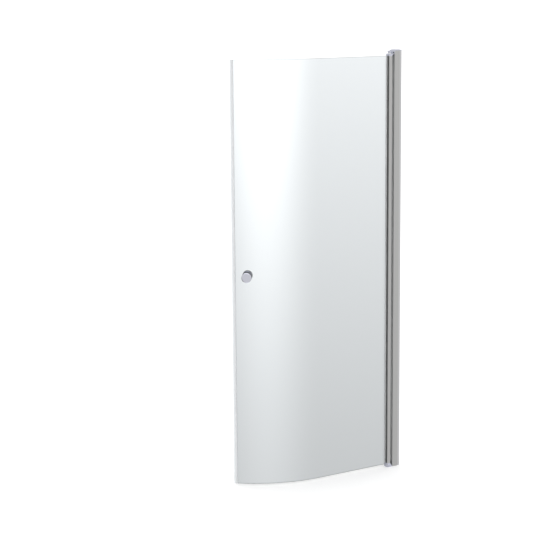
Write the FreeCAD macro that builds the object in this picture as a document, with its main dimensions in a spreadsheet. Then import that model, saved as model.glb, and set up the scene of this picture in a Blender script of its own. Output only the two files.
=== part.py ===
import FreeCAD, Part
import math
import os
import Sketcher

# A pivot shower door: one pane of bent glass in a slim stile that turns between two pins, carried by a
# telescopic wall profile. The wall is the plane X = 0 and the door closes towards -X. The room is on
# the -Y side, the shower on the +Y side, and the profile stands on Z = 0. Millimetres and degrees.

document = FreeCAD.newDocument("pivot_shower_door")
sheet = document.addObject("Spreadsheet::Sheet", "sizes")


class Size:
    """A number that also knows the sheet expression it comes from, so that it can bind a property."""

    def __init__(self, text, number):
        self.text = text
        self.number = number

    def __add__(self, other):
        return Size(f"({self.text} + {plain(other).text})", self.number + plain(other).number)

    def __sub__(self, other):
        return Size(f"({self.text} - {plain(other).text})", self.number - plain(other).number)

    def __mul__(self, other):
        return Size(f"({self.text} * {plain(other).text})", self.number * plain(other).number)

    def __truediv__(self, other):
        return Size(f"({self.text} / {plain(other).text})", self.number / plain(other).number)

    def __radd__(self, other):
        return plain(other) + self

    def __rsub__(self, other):
        return plain(other) - self

    def __rmul__(self, other):
        return plain(other) * self

    def __neg__(self):
        return Size(f"(0 - {self.text})", -self.number)


def plain(value):
    """The value itself when it is a Size, and a constant Size when it is a bare number."""
    return value if isinstance(value, Size) else Size(f"({value})", value)


ALIASES = []


def size(alias, number, meaning):
    """One driving dimension: a row of the sheet with its alias, its number and what it is."""
    ALIASES.append(alias)
    row = len(ALIASES)
    sheet.set(f"A{row}", meaning)
    sheet.set(f"B{row}", str(number))
    sheet.setAlias(f"B{row}", alias)
    return Size(f"sizes.{alias}", number)


def sine(degrees):
    return Size(f"sin({degrees.text} * 1 deg)", math.sin(math.radians(degrees.number)))


def cosine(degrees):
    return Size(f"cos({degrees.text} * 1 deg)", math.cos(math.radians(degrees.number)))


# ---------------------------------------------------------------------------------------------
# Driving dimensions
# ---------------------------------------------------------------------------------------------

profile_height = size("profile_height", 1994, "length of the wall channel and of the post")
slide_gap = size("slide_gap", 0.3, "gap between parts that slide or pass each other")
fit_gap = size("fit_gap", 0.1, "gap of a pushed-in part in its pocket, each side")
running_gap = size("running_gap", 0.5, "gap between faces that turn past each other")

channel_wall = size("channel_wall", 1.7, "wall of the channel's two legs")
channel_base = size("channel_base", 2, "wall of the channel's base, which is screwed to the wall")
channel_reach = size("channel_reach", 28, "how far the channel stands out from the wall")
post_face = size("post_face", 42, "the post's hinge face, out from the wall, at mid adjustment")
post_setback = size("post_setback", 12, "open edge of the post, out from the wall")
post_depth = size("post_depth", 40, "the post from its room face to its shower face")
post_wall = size("post_wall", 2, "wall of the post")
post_round = size("post_round", 2.5, "rounding of the post's two hinge-side edges")
adjust_travel = size("adjust_travel", 6, "how far the post can be set in or out from mid adjustment")

wall_hole_radius = size("wall_hole_radius", 2.75, "holes for the wall screws")
wall_hole_end = size("wall_hole_end", 97, "outer wall holes, from the channel's ends")
wall_hole_inner = size("wall_hole_inner", 600, "distance between the two inner wall holes")
adjust_screw_reach = size("adjust_screw_reach", 23, "adjusting screws, out from the wall")
adjust_screw_end = size("adjust_screw_end", 200, "outer adjusting screws, from the channel's ends")
adjust_screw_radius = size("adjust_screw_radius", 2.1, "shank of an adjusting screw")
adjust_screw_length = size("adjust_screw_length", 9, "shank of an adjusting screw, under its head")
screw_head_radius = size("screw_head_radius", 4, "head of an adjusting screw")
screw_head_height = size("screw_head_height", 2.2, "head of an adjusting screw")
screw_socket = size("screw_socket", 1.5, "circumradius of the larger screws' hexagon sockets")
small_socket = size("small_socket", 1.2, "circumradius of the smaller screws' hexagon sockets")
socket_depth = size("socket_depth", 1.4, "depth of the screws' hexagon sockets")
cover_wall = size("cover_wall", 1.2, "wall of the push-on screw covers")

cap_edge = size("cap_edge", 1.7, "height of the top cap's side")
cap_crown = size("cap_crown", 4, "rise of the top cap's crown")
cap_plug_depth = size("cap_plug_depth", 12, "how deep the top cap's plug goes into the channel")

hinge_gap = size("hinge_gap", 11, "open gap between the post and the stile")
stile_width = size("stile_width", 18, "the stile along the door")
stile_wall = size("stile_wall", 1.6, "wall of the stile")
stile_back_wall = size("stile_back_wall", 2, "wall of the stile behind the glass")
stile_round = size("stile_round", 4, "rounding of the stile's four edges")
pivot_setback = size("pivot_setback", 12, "pivot axis, behind the room face")

glass_setback = size("glass_setback", 21, "outer face of the glass, behind the room face")
glass_thickness = size("glass_thickness", 6, "toughened glass")
glass_foot = size("glass_foot", 11, "lower edge of the glass above the tray")
glass_grip = size("glass_grip", 11.5, "how deep the glass sits in the stile")
glass_end_gap = size("glass_end_gap", 1, "glass edge to the bottom of its groove")
glass_bevel = size("glass_bevel", 0.6, "ground bevel along the pane's edges")
gasket_thickness = size("gasket_thickness", 1, "each glazing gasket between stile and glass")
gasket_lip = size("gasket_lip", 2.5, "how far a gasket's lip covers the glass outside the stile")
gasket_lip_rise = size("gasket_lip_rise", 0.6, "extra thickness of the lip, hooked over the stile")
bend_start = size("bend_start", 450, "where the flat glass ends and the bend starts, from the wall")
bend_radius = size("bend_radius", 550, "outer face of the bent glass")
bend_turn = size("bend_turn", 43, "how far the bend turns, in degrees")

pin_radius = size("pin_radius", 4, "steel pivot pins")
pin_clearance = size("pin_clearance", 0.05, "running clearance of a pin in its bush, on the radius")
bush_wall = size("bush_wall", 1.25, "wall of a pivot bush")
bush_length = size("bush_length", 20, "a pivot bush under its collar")
collar_radius = size("collar_radius", 8.5, "collar of the top bush, and the boss above it")
collar_height = size("collar_height", 2, "collar of the top bush")
washer_height = size("washer_height", 1, "thrust washer under the door")
washer_gap = size("washer_gap", 0.1, "thrust washer to the turning bush")
cover_height = size("cover_height", 3, "cover plate of the top bracket")
boss_height = size("boss_height", 7.5, "block of the top bracket under its cover plate")
plug_head = size("plug_head", 10, "head of the top plug, above the stile")
foot_plate = size("foot_plate", 6, "plate of the bottom bracket")
foot_plug_head = size("foot_plug_head", 12.9, "head of the bottom plug, under the stile")
plug_spigot = size("plug_spigot", 30, "how deep a plug goes into the stile")
nose_radius = size("nose_radius", 18.5, "rounded nose of the plugs towards the post")
nose_root = size("nose_root", 10, "nose radius where it dies into the plug's side")
nose_edge = size("nose_edge", 1.5, "upright edge of the nose")
bridge_inset = size("bridge_inset", 1.2, "bridge between the boss and the leg, narrower each side")
bracket_neck_inset = size("bracket_neck_inset", 4, "bracket neck, narrower than the plate each side")
tongue_thickness = size("tongue_thickness", 5.6, "bracket tongue inside the post")
tongue_height = size("tongue_height", 30, "bracket tongue along the post")
arm_width = size("arm_width", 8, "flat arm of the top pin")
arm_height = size("arm_height", 5.5, "flat arm of the top pin")
arm_reach = size("arm_reach", 17.5, "flat arm from the pivot axis towards the post")
pin_head_radius = size("pin_head_radius", 6, "head of the bottom pin")
pin_head_height = size("pin_head_height", 2, "head of the bottom pin")
pin_bevel = size("pin_bevel", 0.5, "bevel on the end of the bottom pin")
pin_end_gap = size("pin_end_gap", 2, "pin's end to the bottom of its bush")
lock_hole_radius = size("lock_hole_radius", 3.8, "front hole of the top bracket")
lock_screw_radius = size("lock_screw_radius", 3.3, "set screw in the front hole")
lock_screw_length = size("lock_screw_length", 4, "set screw in the front hole")
lock_screw_reach = size("lock_screw_reach", 13.6, "set screw, from the pivot axis towards the post")
lock_screw_drop = size("lock_screw_drop", 4.7, "set screw, under the cover plate")
small_screw_radius = size("small_screw_radius", 1.6, "bracket and plug screws")
small_screw_length = size("small_screw_length", 8, "bracket and plug screws, with their heads")
small_head_radius = size("small_head_radius", 3, "countersunk head of the bracket and plug screws")
small_head_height = size("small_head_height", 1.4, "countersunk head of the bracket and plug screws")
bracket_screw_end = size("bracket_screw_end", 22, "bracket screws, from the tip of the tongue")
plug_screw_depth = size("plug_screw_depth", 24, "plug screws, from the end of the stile")

fin_thickness = size("fin_thickness", 1.2, "hinge seal fin")
fin_setback = size("fin_setback", 8.4, "hinge seal fin, behind the pivot axis")
fin_reach = size("fin_reach", 8.4, "hinge seal fin, out from the stile")
fin_root = size("fin_root", 2.5, "hinge seal foot in its groove")
fin_root_width = size("fin_root_width", 3, "hinge seal foot, across")
edge_seal_wall = size("edge_seal_wall", 1.2, "leading edge seal beside the glass")
edge_seal_grip = size("edge_seal_grip", 6.5, "how far the leading edge seal grips the glass")
edge_seal_web = size("edge_seal_web", 1.5, "leading edge seal in front of the glass edge")
edge_seal_fin = size("edge_seal_fin", 10, "leading edge seal, out from the glass edge")
edge_seal_fin_width = size("edge_seal_fin_width", 1.8, "thickness of the leading edge seal's fin")

knob_radius = size("knob_radius", 23, "both door knobs")
knob_length = size("knob_length", 35.5, "both door knobs, from their washers")
knob_bevel = size("knob_bevel", 3, "bevel round the knobs' end faces")
knob_inset = size("knob_inset", 60, "knob from the glass's leading edge, along the glass")
knob_height = size("knob_height", 991, "knob above the tray")
stud_radius = size("stud_radius", 3, "threaded stud through the glass")
stud_bite = size("stud_bite", 16, "how deep the stud goes into each knob")
knob_washer = size("knob_washer", 1, "soft washers between knobs and glass")
knob_washer_radius = size("knob_washer_radius", 15, "soft washers between knobs and glass")
glass_hole_radius = size("glass_hole_radius", 6, "hole through the glass for the stud")
set_screw_radius = size("set_screw_radius", 2, "set screw in the inner knob")
set_screw_length = size("set_screw_length", 15, "set screw in the inner knob")

document.recompute()

# Places that several parts share, all worked out from the sizes above.
room_y = -post_depth / 2
shower_y = post_depth / 2
pivot_x = -(post_face + hinge_gap + stile_width / 2)
pivot_y = room_y + pivot_setback
stile_right = -(post_face + hinge_gap)
stile_left = stile_right - stile_width
glass_outer_y = room_y + glass_setback
glass_inner_y = glass_outer_y + glass_thickness
groove_front_y = glass_outer_y - gasket_thickness
groove_back_y = glass_inner_y + gasket_thickness
stile_back_y = groove_back_y + stile_back_wall
stile_foot = foot_plate + washer_height + washer_gap + foot_plug_head
bush_top = profile_height - cover_height - boss_height - running_gap
plug_top = bush_top - collar_height
stile_top = plug_top - plug_head
glass_edge_x = stile_left + glass_grip
bend_x = -bend_start
bend_y = glass_outer_y + bend_radius
chamber_front_y = room_y + stile_wall
chamber_back_y = groove_front_y - stile_wall
bush_radius = pin_radius + pin_clearance + bush_wall


# ---------------------------------------------------------------------------------------------
# Sketches, bodies and primitives
# ---------------------------------------------------------------------------------------------

NODES = []


def node(thing, name):
    """Marks an object as a finished sub-part: its Label names it and its file."""
    thing.Label = name
    NODES.append(thing)
    return thing


def bind(thing, **properties):
    """Ties each named property of an object to its Size."""
    for name, value in properties.items():
        thing.setExpression(name.replace("__", "."), plain(value).text)


def fix(sketch, geometry, point, axis, value):
    """Holds one coordinate of a sketch point at a Size, or on the other axis where the value is 0."""
    if not isinstance(value, Size) and value == 0:
        line = -2 if axis == "X" else -1
        sketch.addConstraint(Sketcher.Constraint("PointOnObject", geometry, point, line))
        return
    datum = plain(value)
    index = sketch.addConstraint(
        Sketcher.Constraint(f"Distance{axis}", -1, 1, geometry, point, datum.number)
    )
    sketch.setExpression(f"Constraints[{index}]", datum.text)


def vector(point):
    return FreeCAD.Vector(plain(point[0]).number, plain(point[1]).number, 0)


def outline(body, name, points, level, role="XY_Plane"):
    """A closed sketch on an origin plane of its own body, lifted to a level along the plane's normal.

    A point is (x, y). A point (x, y, centre x, centre y, turn) starts an arc about that centre,
    anticlockwise where turn is 1 and clockwise where it is -1."""
    sketch = body.newObject("Sketcher::SketchObject", name)
    plane = [part for part in body.Origin.OriginFeatures if part.Role == role][0]
    sketch.AttachmentSupport = (plane, [""])
    sketch.MapMode = "FlatFace"
    sketch.setExpression("AttachmentOffset.Base.z", plain(level).text)
    count = len(points)
    ends = []
    for index, point in enumerate(points):
        here = vector(point)
        there = vector(points[(index + 1) % count])
        if len(point) == 2:
            sketch.addGeometry(Part.LineSegment(here, there), False)
            ends.append((1, 2))
            continue
        middle = vector(point[2:4])
        circle = Part.Circle(middle, FreeCAD.Vector(0, 0, 1), (here - middle).Length)
        first, last = (here, there) if point[4] > 0 else (there, here)
        angles = [math.atan2(spot.y - middle.y, spot.x - middle.x) for spot in (first, last)]
        if angles[1] < angles[0]:
            angles[1] += 2 * math.pi
        sketch.addGeometry(Part.ArcOfCircle(circle, angles[0], angles[1]), False)
        ends.append((1, 2) if point[4] > 0 else (2, 1))
    for index in range(count):
        after = (index + 1) % count
        sketch.addConstraint(
            Sketcher.Constraint("Coincident", index, ends[index][1], after, ends[after][0])
        )
    for index, point in enumerate(points):
        before = points[index - 1]
        axes = {"X": point[0], "Y": point[1]}
        if len(before) > 2:
            # The arc that ends here already holds this point's distance from its centre.
            reach = vector(point) - vector(before[2:4])
            del axes["X" if abs(reach.x) > abs(reach.y) else "Y"]
        for axis, value in axes.items():
            fix(sketch, index, ends[index][0], axis, value)
        if len(point) > 2:
            fix(sketch, index, 3, "X", point[2])
            fix(sketch, index, 3, "Y", point[3])
    return sketch


def corners(left, right, low, high):
    """The four corner points of a rectangle, anticlockwise."""
    return [(left, low), (right, low), (right, high), (left, high)]


def prism(name, points, foot, height):
    """A body: the outline at the foot level, padded upwards by the height."""
    body = document.addObject("PartDesign::Body", name)
    sketch = outline(body, f"{name}_section", points, foot)
    pad = body.newObject("PartDesign::Pad", f"{name}_pad")
    pad.Profile = sketch
    bind(pad, Length=height)
    sketch.Visibility = False
    document.recompute()
    return body


def hollow(body, name, points, foot, height):
    """Cuts the outline upwards from the foot level and checks that it took material away."""
    volume = body.Shape.Volume
    sketch = outline(body, name, points, foot)
    pocket = body.newObject("PartDesign::Pocket", f"{name}_pocket")
    pocket.Profile = sketch
    pocket.Reversed = True
    bind(pocket, Length=height)
    document.recompute()
    if not body.Shape.Volume < volume:
        raise RuntimeError(f"{name} cut nothing")


def round_edges(body, name, radius, places):
    """Rounds the upright edges that stand at the given (x, y) places."""
    spots = [vector(place) for place in places]
    names = []
    for index, edge in enumerate(body.Shape.Edges):
        first, last = edge.Vertexes[0].Point, edge.Vertexes[-1].Point
        flat = FreeCAD.Vector(first.x, first.y, 0)
        upright = math.hypot(last.x - first.x, last.y - first.y) < 1e-6 < abs(last.z - first.z)
        if upright and any((flat - spot).Length < 1e-4 for spot in spots):
            names.append(f"Edge{index + 1}")
    base = body.Tip
    fillet = body.newObject("PartDesign::Fillet", name)
    fillet.Base = (base, names)
    bind(fillet, Radius=radius)
    document.recompute()


def turned(name, points):
    """A body turned about its own Z axis from an outline of (radius, height) points."""
    body = document.addObject("PartDesign::Body", name)
    sketch = outline(body, f"{name}_section", points, 0, "XZ_Plane")
    revolution = body.newObject("PartDesign::Revolution", f"{name}_revolution")
    revolution.Profile = sketch
    revolution.ReferenceAxis = (sketch, ["V_Axis"])
    revolution.Angle = 360
    document.recompute()
    return body


def place(thing, x, y, z, yaw=0, pitch=0, roll=0):
    """Binds a Placement: a turn by yaw, pitch and roll, then a move to (x, y, z)."""
    spot = "; ".join(plain(value).text for value in (x, y, z))
    turn = "; ".join(plain(value).text for value in (yaw, pitch, roll))
    thing.setExpression("Placement", f"placement(vector({spot}); rotation({turn}))")
    return thing


def box(name, left, right, low, high, foot, top):
    """A Part box between two corners."""
    solid = document.addObject("Part::Box", name)
    bind(solid, Length=right - left, Width=high - low, Height=top - foot)
    return place(solid, left, low, foot)


def rod(name, radius, length, x, y, z, yaw=0, pitch=0, roll=0):
    """A Part cylinder from (x, y, z) along the turned Z axis."""
    solid = document.addObject("Part::Cylinder", name)
    bind(solid, Radius=radius, Height=length)
    return place(solid, x, y, z, yaw, pitch, roll)


def hexagon(name, radius, length, x, y, z, yaw=0, pitch=0, roll=0):
    """A hexagonal bar from (x, y, z) along the turned Z axis, which cuts a screw's socket."""
    solid = document.addObject("Part::Prism", name)
    solid.Polygon = 6
    bind(solid, Circumradius=radius, Height=length)
    return place(solid, x, y, z, yaw, pitch, roll)


def fuse(name, solids):
    joined = document.addObject("Part::MultiFuse", name)
    joined.Shapes = solids
    joined.Refine = True
    return joined


def cut(name, base, tools):
    """The base less the tools, checked to have lost material."""
    result = document.addObject("Part::Cut", name)
    result.Base = base
    result.Tool = tools[0] if len(tools) == 1 else fuse(f"{name}_tools", tools)
    result.Refine = True
    document.recompute()
    if not result.Shape.Volume < base.Shape.Volume:
        raise RuntimeError(f"{name} lost nothing")
    return result


def common(name, base, tool):
    shared = document.addObject("Part::Common", name)
    shared.Base = base
    shared.Tool = tool
    return shared


def group(name, solids):
    """Identical fasteners as one node of separate solids."""
    bundle = document.addObject("Part::Compound", name)
    bundle.Links = solids
    return bundle


# Turns that point a solid's own Z axis along another axis, as yaw, pitch and roll.
TOWARDS_SHOWER = (0, 0, -90)
TOWARDS_ROOM = (0, 0, 90)
TOWARDS_WALL = (0, 90, 0)
ALONG_DOOR = (0, -90, 0)


# ---------------------------------------------------------------------------------------------
# Fixed to the wall
# ---------------------------------------------------------------------------------------------


def screw_levels():
    """Heights of the three adjusting screws."""
    return [adjust_screw_end, profile_height / 2, profile_height - adjust_screw_end]


def wall_hole_levels():
    """Heights of the four wall screw holes."""
    middle = profile_height / 2
    inner = wall_hole_inner / 2
    return [wall_hole_end, middle - inner, middle + inner, profile_height - wall_hole_end]


def wall_channel():
    """The U-shaped aluminium channel, drilled for the wall screws and the adjusting screws."""
    half = post_depth / 2 - post_wall - slide_gap
    reach = -channel_reach
    section = corners(reach, 0, -half, half)
    channel = prism("wall_channel_body", section, 0, profile_height)
    inside = half - channel_wall
    space = corners(reach, -channel_base, -inside, inside)
    hollow(channel, "wall_channel_inside", space, 0, profile_height)
    tools = []
    for index, level in enumerate(wall_hole_levels()):
        length = channel_base * 3
        tools.append(
            rod(f"wall_hole_{index}", wall_hole_radius, length, -channel_base * 2, 0, level, *TOWARDS_WALL)
        )
    for index, level in enumerate(screw_levels()):
        tools.append(
            rod(
                f"thread_hole_{index}",
                adjust_screw_radius,
                channel_wall * 3,
                -adjust_screw_reach,
                inside - channel_wall,
                level,
                *TOWARDS_SHOWER,
            )
        )
    return node(cut("wall_channel_cut", channel, tools), "wall_channel")


def adjusting_screws():
    """Three screws that clamp the post to the channel from the shower side, with hexagon sockets."""
    screws = []
    head_y = shower_y + fit_gap
    for index, level in enumerate(screw_levels()):
        shank = rod(
            f"adjusting_shank_{index}",
            adjust_screw_radius,
            adjust_screw_length,
            -adjust_screw_reach,
            head_y,
            level,
            *TOWARDS_ROOM,
        )
        head = rod(
            f"adjusting_head_{index}",
            screw_head_radius,
            screw_head_height,
            -adjust_screw_reach,
            head_y,
            level,
            *TOWARDS_SHOWER,
        )
        socket = hexagon(
            f"adjusting_socket_{index}",
            screw_socket,
            screw_head_height,
            -adjust_screw_reach,
            head_y + screw_head_height - socket_depth,
            level,
            *TOWARDS_SHOWER,
        )
        screw = fuse(f"adjusting_screw_{index}_solid", [shank, head])
        screws.append(cut(f"adjusting_screw_{index}", screw, [socket]))
    return node(group("adjusting_screw_group", screws), "adjusting_screws")


def adjusting_screw_covers():
    """Push-on plastic covers over the adjusting screws' heads."""
    covers = []
    inner = screw_head_radius + fit_gap
    outer = inner + cover_wall
    deep = screw_head_height + fit_gap
    foot = shower_y + slide_gap
    for index, level in enumerate(screw_levels()):
        section = [
            (inner, 0),
            (outer, 0),
            (outer, deep),
            (outer - cover_wall, deep + cover_wall),
            (0, deep + cover_wall),
            (0, deep),
            (inner, deep),
        ]
        cover = turned(f"adjusting_screw_cover_{index}", section)
        covers.append(place(cover, -adjust_screw_reach, foot, level, *TOWARDS_SHOWER))
    return node(group("adjusting_cover_group", covers), "adjusting_screw_covers")


def top_cap():
    """The crowned plastic cap that closes the wall profile, with a plug inside the channel."""
    half = post_depth / 2
    foot = profile_height + slide_gap
    side = box("top_cap_side", -post_face, plain(0), -half, half, foot, foot + cap_edge + cap_crown)
    crown_radius = (post_face * post_face / 4 + cap_crown * cap_crown) / (2 * cap_crown)
    crown = rod(
        "top_cap_crown",
        crown_radius,
        post_depth,
        -post_face / 2,
        -half,
        foot + cap_edge + cap_crown - crown_radius,
        *TOWARDS_SHOWER,
    )
    plate = common("top_cap_plate", side, crown)
    inside = half - post_wall - slide_gap - channel_wall - fit_gap
    plug = box(
        "top_cap_plug",
        -channel_reach,
        -channel_base - fit_gap,
        -inside,
        inside,
        profile_height - cap_plug_depth,
        foot + cap_edge / 2,
    )
    ledge_half = half - post_wall - slide_gap
    ledge_top = foot + cap_edge / 2
    ledge = box(
        "top_cap_ledge", -channel_reach, plain(0), -ledge_half, ledge_half, profile_height, ledge_top
    )
    return node(fuse("top_cap_solid", [plate, plug, ledge]), "top_cap")


# ---------------------------------------------------------------------------------------------
# The post and its two pivot brackets
# ---------------------------------------------------------------------------------------------

neck_front = room_y + bracket_neck_inset
neck_back = stile_back_y - bracket_neck_inset
tongue_left = -(post_face - post_wall - fit_gap)
tongue_right = tongue_left + tongue_thickness
tongue_half = post_depth / 2 - post_wall - fit_gap
block_top = profile_height - cover_height
block_foot = block_top - boss_height
leg_foot = plug_top + running_gap
leg_left = pivot_x + collar_radius + slide_gap
bracket_screw_x = (tongue_left + tongue_right) / 2 + fit_gap
bracket_levels = [bracket_screw_end, block_top - bracket_screw_end]
lock_x = pivot_x + lock_screw_reach
lock_z = block_top - lock_screw_drop


def post_profile():
    """The aluminium post that telescopes over the channel, slotted for the adjusting screws."""
    section = corners(-post_face, -post_setback, room_y, shower_y)
    post = prism("post_body", section, 0, profile_height)
    inside = corners(-post_face + post_wall, -post_setback, room_y + post_wall, shower_y - post_wall)
    hollow(post, "post_inside", inside, 0, profile_height)
    round_edges(post, "post_edges", post_round, [(-post_face, room_y), (-post_face, shower_y)])
    left = -post_face - post_wall
    right = -post_face + post_wall * 2
    front = neck_front - fit_gap
    back = neck_back + fit_gap
    tools = [
        box("top_notch", left, right, front, back, leg_foot - fit_gap, profile_height + post_wall),
        box("foot_notch", left, right, front, back, -post_wall, foot_plate + fit_gap),
    ]
    slot_radius = adjust_screw_radius + slide_gap
    deep = post_wall * 2
    for index, level in enumerate(screw_levels()):
        for side, travel in (("in", adjust_travel), ("out", -adjust_travel)):
            x = -adjust_screw_reach + travel
            name = f"slot_{side}_{index}"
            tools.append(rod(name, slot_radius, deep * 2, x, shower_y - deep, level, *TOWARDS_SHOWER))
        start = -adjust_screw_reach - adjust_travel
        end = -adjust_screw_reach + adjust_travel
        low = level - slot_radius
        high = level + slot_radius
        tools.append(box(f"slot_{index}", start, end, shower_y - deep, shower_y + deep, low, high))
    for index, level in enumerate(bracket_levels):
        tools += countersink(f"bracket_hole_{index}", bracket_screw_x, shower_y, level, TOWARDS_ROOM)
    return node(cut("post_cut", post, tools), "post_profile")


def countersink(name, x, y, z, turn):
    """A screw-shaped space: a hole with a cone for the countersunk head, sunk from (x, y, z)."""
    hole = rod(f"{name}_hole", small_screw_radius, small_screw_length + fit_gap, x, y, z, *turn)
    cone = document.addObject("Part::Cone", f"{name}_cone")
    bind(cone, Radius1=small_head_radius, Radius2=small_screw_radius, Height=small_head_height)
    return [hole, place(cone, x, y, z, *turn)]


def small_screw(name, x, y, z, turn):
    """A countersunk screw with a hexagon socket, its head flush at (x, y, z)."""
    shank = rod(f"{name}_shank", small_screw_radius, small_screw_length, x, y, z, *turn)
    cone = document.addObject("Part::Cone", f"{name}_head")
    bind(cone, Radius1=small_head_radius, Radius2=small_screw_radius, Height=small_head_height)
    place(cone, x, y, z, *turn)
    socket = hexagon(f"{name}_socket", small_socket, socket_depth, x, y, z, *turn)
    return cut(name, fuse(f"{name}_solid", [shank, cone]), [socket])


def plate_outline():
    """The stile's footprint, drawn on to the post's hinge face."""
    return corners(stile_left, -post_face, room_y, stile_back_y)


def tongue(name, foot, top, neck_foot, neck_top):
    """A bracket's neck through the post's wall and its tongue inside the post."""
    left = -post_face - fit_gap
    right = tongue_left + fit_gap
    neck = box(f"{name}_neck", left, right, neck_front, neck_back, neck_foot, neck_top)
    blade = box(f"{name}_tongue", tongue_left, tongue_right, -tongue_half, tongue_half, foot, top)
    return [neck, blade]


def top_bearing_bracket():
    """The moulded block beside and above the stile that holds the top pin's arm."""
    leg = box("top_leg", leg_left, -post_face, room_y, stile_back_y, leg_foot, block_top)
    boss = rod("top_boss", collar_radius, boss_height, pivot_x, pivot_y, block_foot)
    half = collar_radius - bridge_inset
    right = leg_left + bridge_inset
    bridge = box("top_bridge", pivot_x, right, pivot_y - half, pivot_y + half, block_foot, block_top)
    blade = tongue("top", block_top - tongue_height, block_top, leg_foot, block_top)
    solid = fuse("top_bracket_solid", [leg, boss, bridge] + blade)
    arm = arm_width / 2 + fit_gap
    arm_foot = block_top - arm_height - fit_gap
    right = pivot_x + arm_reach + fit_gap
    bore = pin_radius + pin_clearance
    lock_depth = pivot_setback - arm_width / 2
    tools = [
        box("arm_groove", pivot_x, right, pivot_y - arm, pivot_y + arm, arm_foot, block_top + arm_height),
        rod("arm_eye", arm, arm_height * 2, pivot_x, pivot_y, arm_foot),
        rod("pin_hole", bore, boss_height * 2, pivot_x, pivot_y, block_foot - boss_height),
        rod("lock_hole", lock_hole_radius, lock_depth, lock_x, room_y, lock_z, *TOWARDS_SHOWER),
    ]
    level = bracket_levels[1]
    tools += countersink("top_tongue_hole", bracket_screw_x, shower_y, level, TOWARDS_ROOM)
    return node(cut("top_bracket_cut", solid, tools), "top_bearing_bracket")


def top_bracket_cover():
    """The plate that closes the top bracket, with the stile's footprint and rounded free corners."""
    cover = prism("top_bracket_cover_body", plate_outline(), block_top, cover_height)
    round_edges(cover, "cover_edges", stile_round, [(stile_left, room_y), (stile_left, stile_back_y)])
    return node(cover, "top_bracket_cover")


def top_pivot_pin():
    """The steel top pin: an upright pin under a flat arm that the set screw clamps."""
    pin_foot = plug_top - bush_length + collar_height + pin_end_gap
    pin = rod("top_pin", pin_radius, block_top - pin_foot, pivot_x, pivot_y, pin_foot)
    eye = rod("top_pin_eye", arm_width / 2, arm_height, pivot_x, pivot_y, block_top - arm_height)
    half = arm_width / 2
    right = pivot_x + arm_reach
    low = block_top - arm_height
    arm = box("top_pin_arm", pivot_x, right, pivot_y - half, pivot_y + half, low, block_top)
    return node(fuse("top_pin_solid", [pin, eye, arm]), "top_pivot_pin")


def top_lock_screw():
    """The set screw deep in the bracket's front hole, tight against the arm."""
    tip = pivot_y - arm_width / 2
    start = tip - lock_screw_length
    screw = rod("lock_screw", lock_screw_radius, lock_screw_length, lock_x, start, lock_z, *TOWARDS_SHOWER)
    deep = socket_depth
    socket = hexagon("lock_screw_socket", screw_socket, deep, lock_x, start, lock_z, *TOWARDS_SHOWER)
    return node(cut("lock_screw_cut", screw, [socket]), "top_lock_screw")


def bottom_bearing_bracket():
    """The foot plate under the stile, with its neck and tongue in the post."""
    plate = prism("foot_plate_body", plate_outline(), 0, foot_plate)
    round_edges(plate, "foot_plate_edges", stile_round, [(stile_left, room_y), (stile_left, stile_back_y)])
    blade = tongue("foot", plain(0), tongue_height, plain(0), foot_plate)
    solid = fuse("foot_bracket_solid", [plate] + blade)
    recess = pin_head_height + running_gap
    tools = [
        rod("foot_pin_hole", pin_radius + pin_clearance, foot_plate * 2, pivot_x, pivot_y, plain(0)),
        rod("foot_pin_recess", pin_head_radius + fit_gap, recess, pivot_x, pivot_y, plain(0)),
    ]
    tools += countersink("foot_tongue_hole", bracket_screw_x, shower_y, bracket_levels[0], TOWARDS_ROOM)
    return node(cut("foot_bracket_cut", solid, tools), "bottom_bearing_bracket")


def bottom_pivot_pin():
    """The steel bottom pin, put in from under the foot plate."""
    shoulder = running_gap + pin_head_height
    top = foot_plate + washer_height + bush_length - pin_end_gap
    section = [
        (0, running_gap),
        (pin_head_radius, running_gap),
        (pin_head_radius, shoulder),
        (pin_radius, shoulder),
        (pin_radius, top - pin_bevel),
        (pin_radius - pin_bevel, top),
        (0, top),
    ]
    pin = turned("bottom_pin_body", section)
    return node(place(pin, pivot_x, pivot_y, 0), "bottom_pivot_pin")


def thrust_washer():
    """The slippery washer on the foot plate that carries the door's weight."""
    inner = pin_radius + pin_clearance
    section = corners(inner, collar_radius, 0, washer_height)
    washer = turned("thrust_washer_body", section)
    return node(place(washer, pivot_x, pivot_y, foot_plate), "thrust_washer")


def bracket_screws():
    """One screw through the post's shower face into each bracket's tongue."""
    screws = []
    for index, level in enumerate(bracket_levels):
        name = f"bracket_screw_{index}"
        screws.append(small_screw(name, bracket_screw_x, shower_y, level, TOWARDS_ROOM))
    return node(group("bracket_screw_group", screws), "bracket_screws")


# ---------------------------------------------------------------------------------------------
# The door
# ---------------------------------------------------------------------------------------------

fin_front = pivot_y + fin_setback - fin_thickness / 2
fin_back = fin_front + fin_thickness
root_front = pivot_y + fin_setback - fin_root_width / 2
root_back = root_front + fin_root_width
plug_screw_levels = [stile_foot + plug_screw_depth, stile_top - plug_screw_depth]
plug_screw_y = (chamber_front_y + chamber_back_y) / 2


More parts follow.
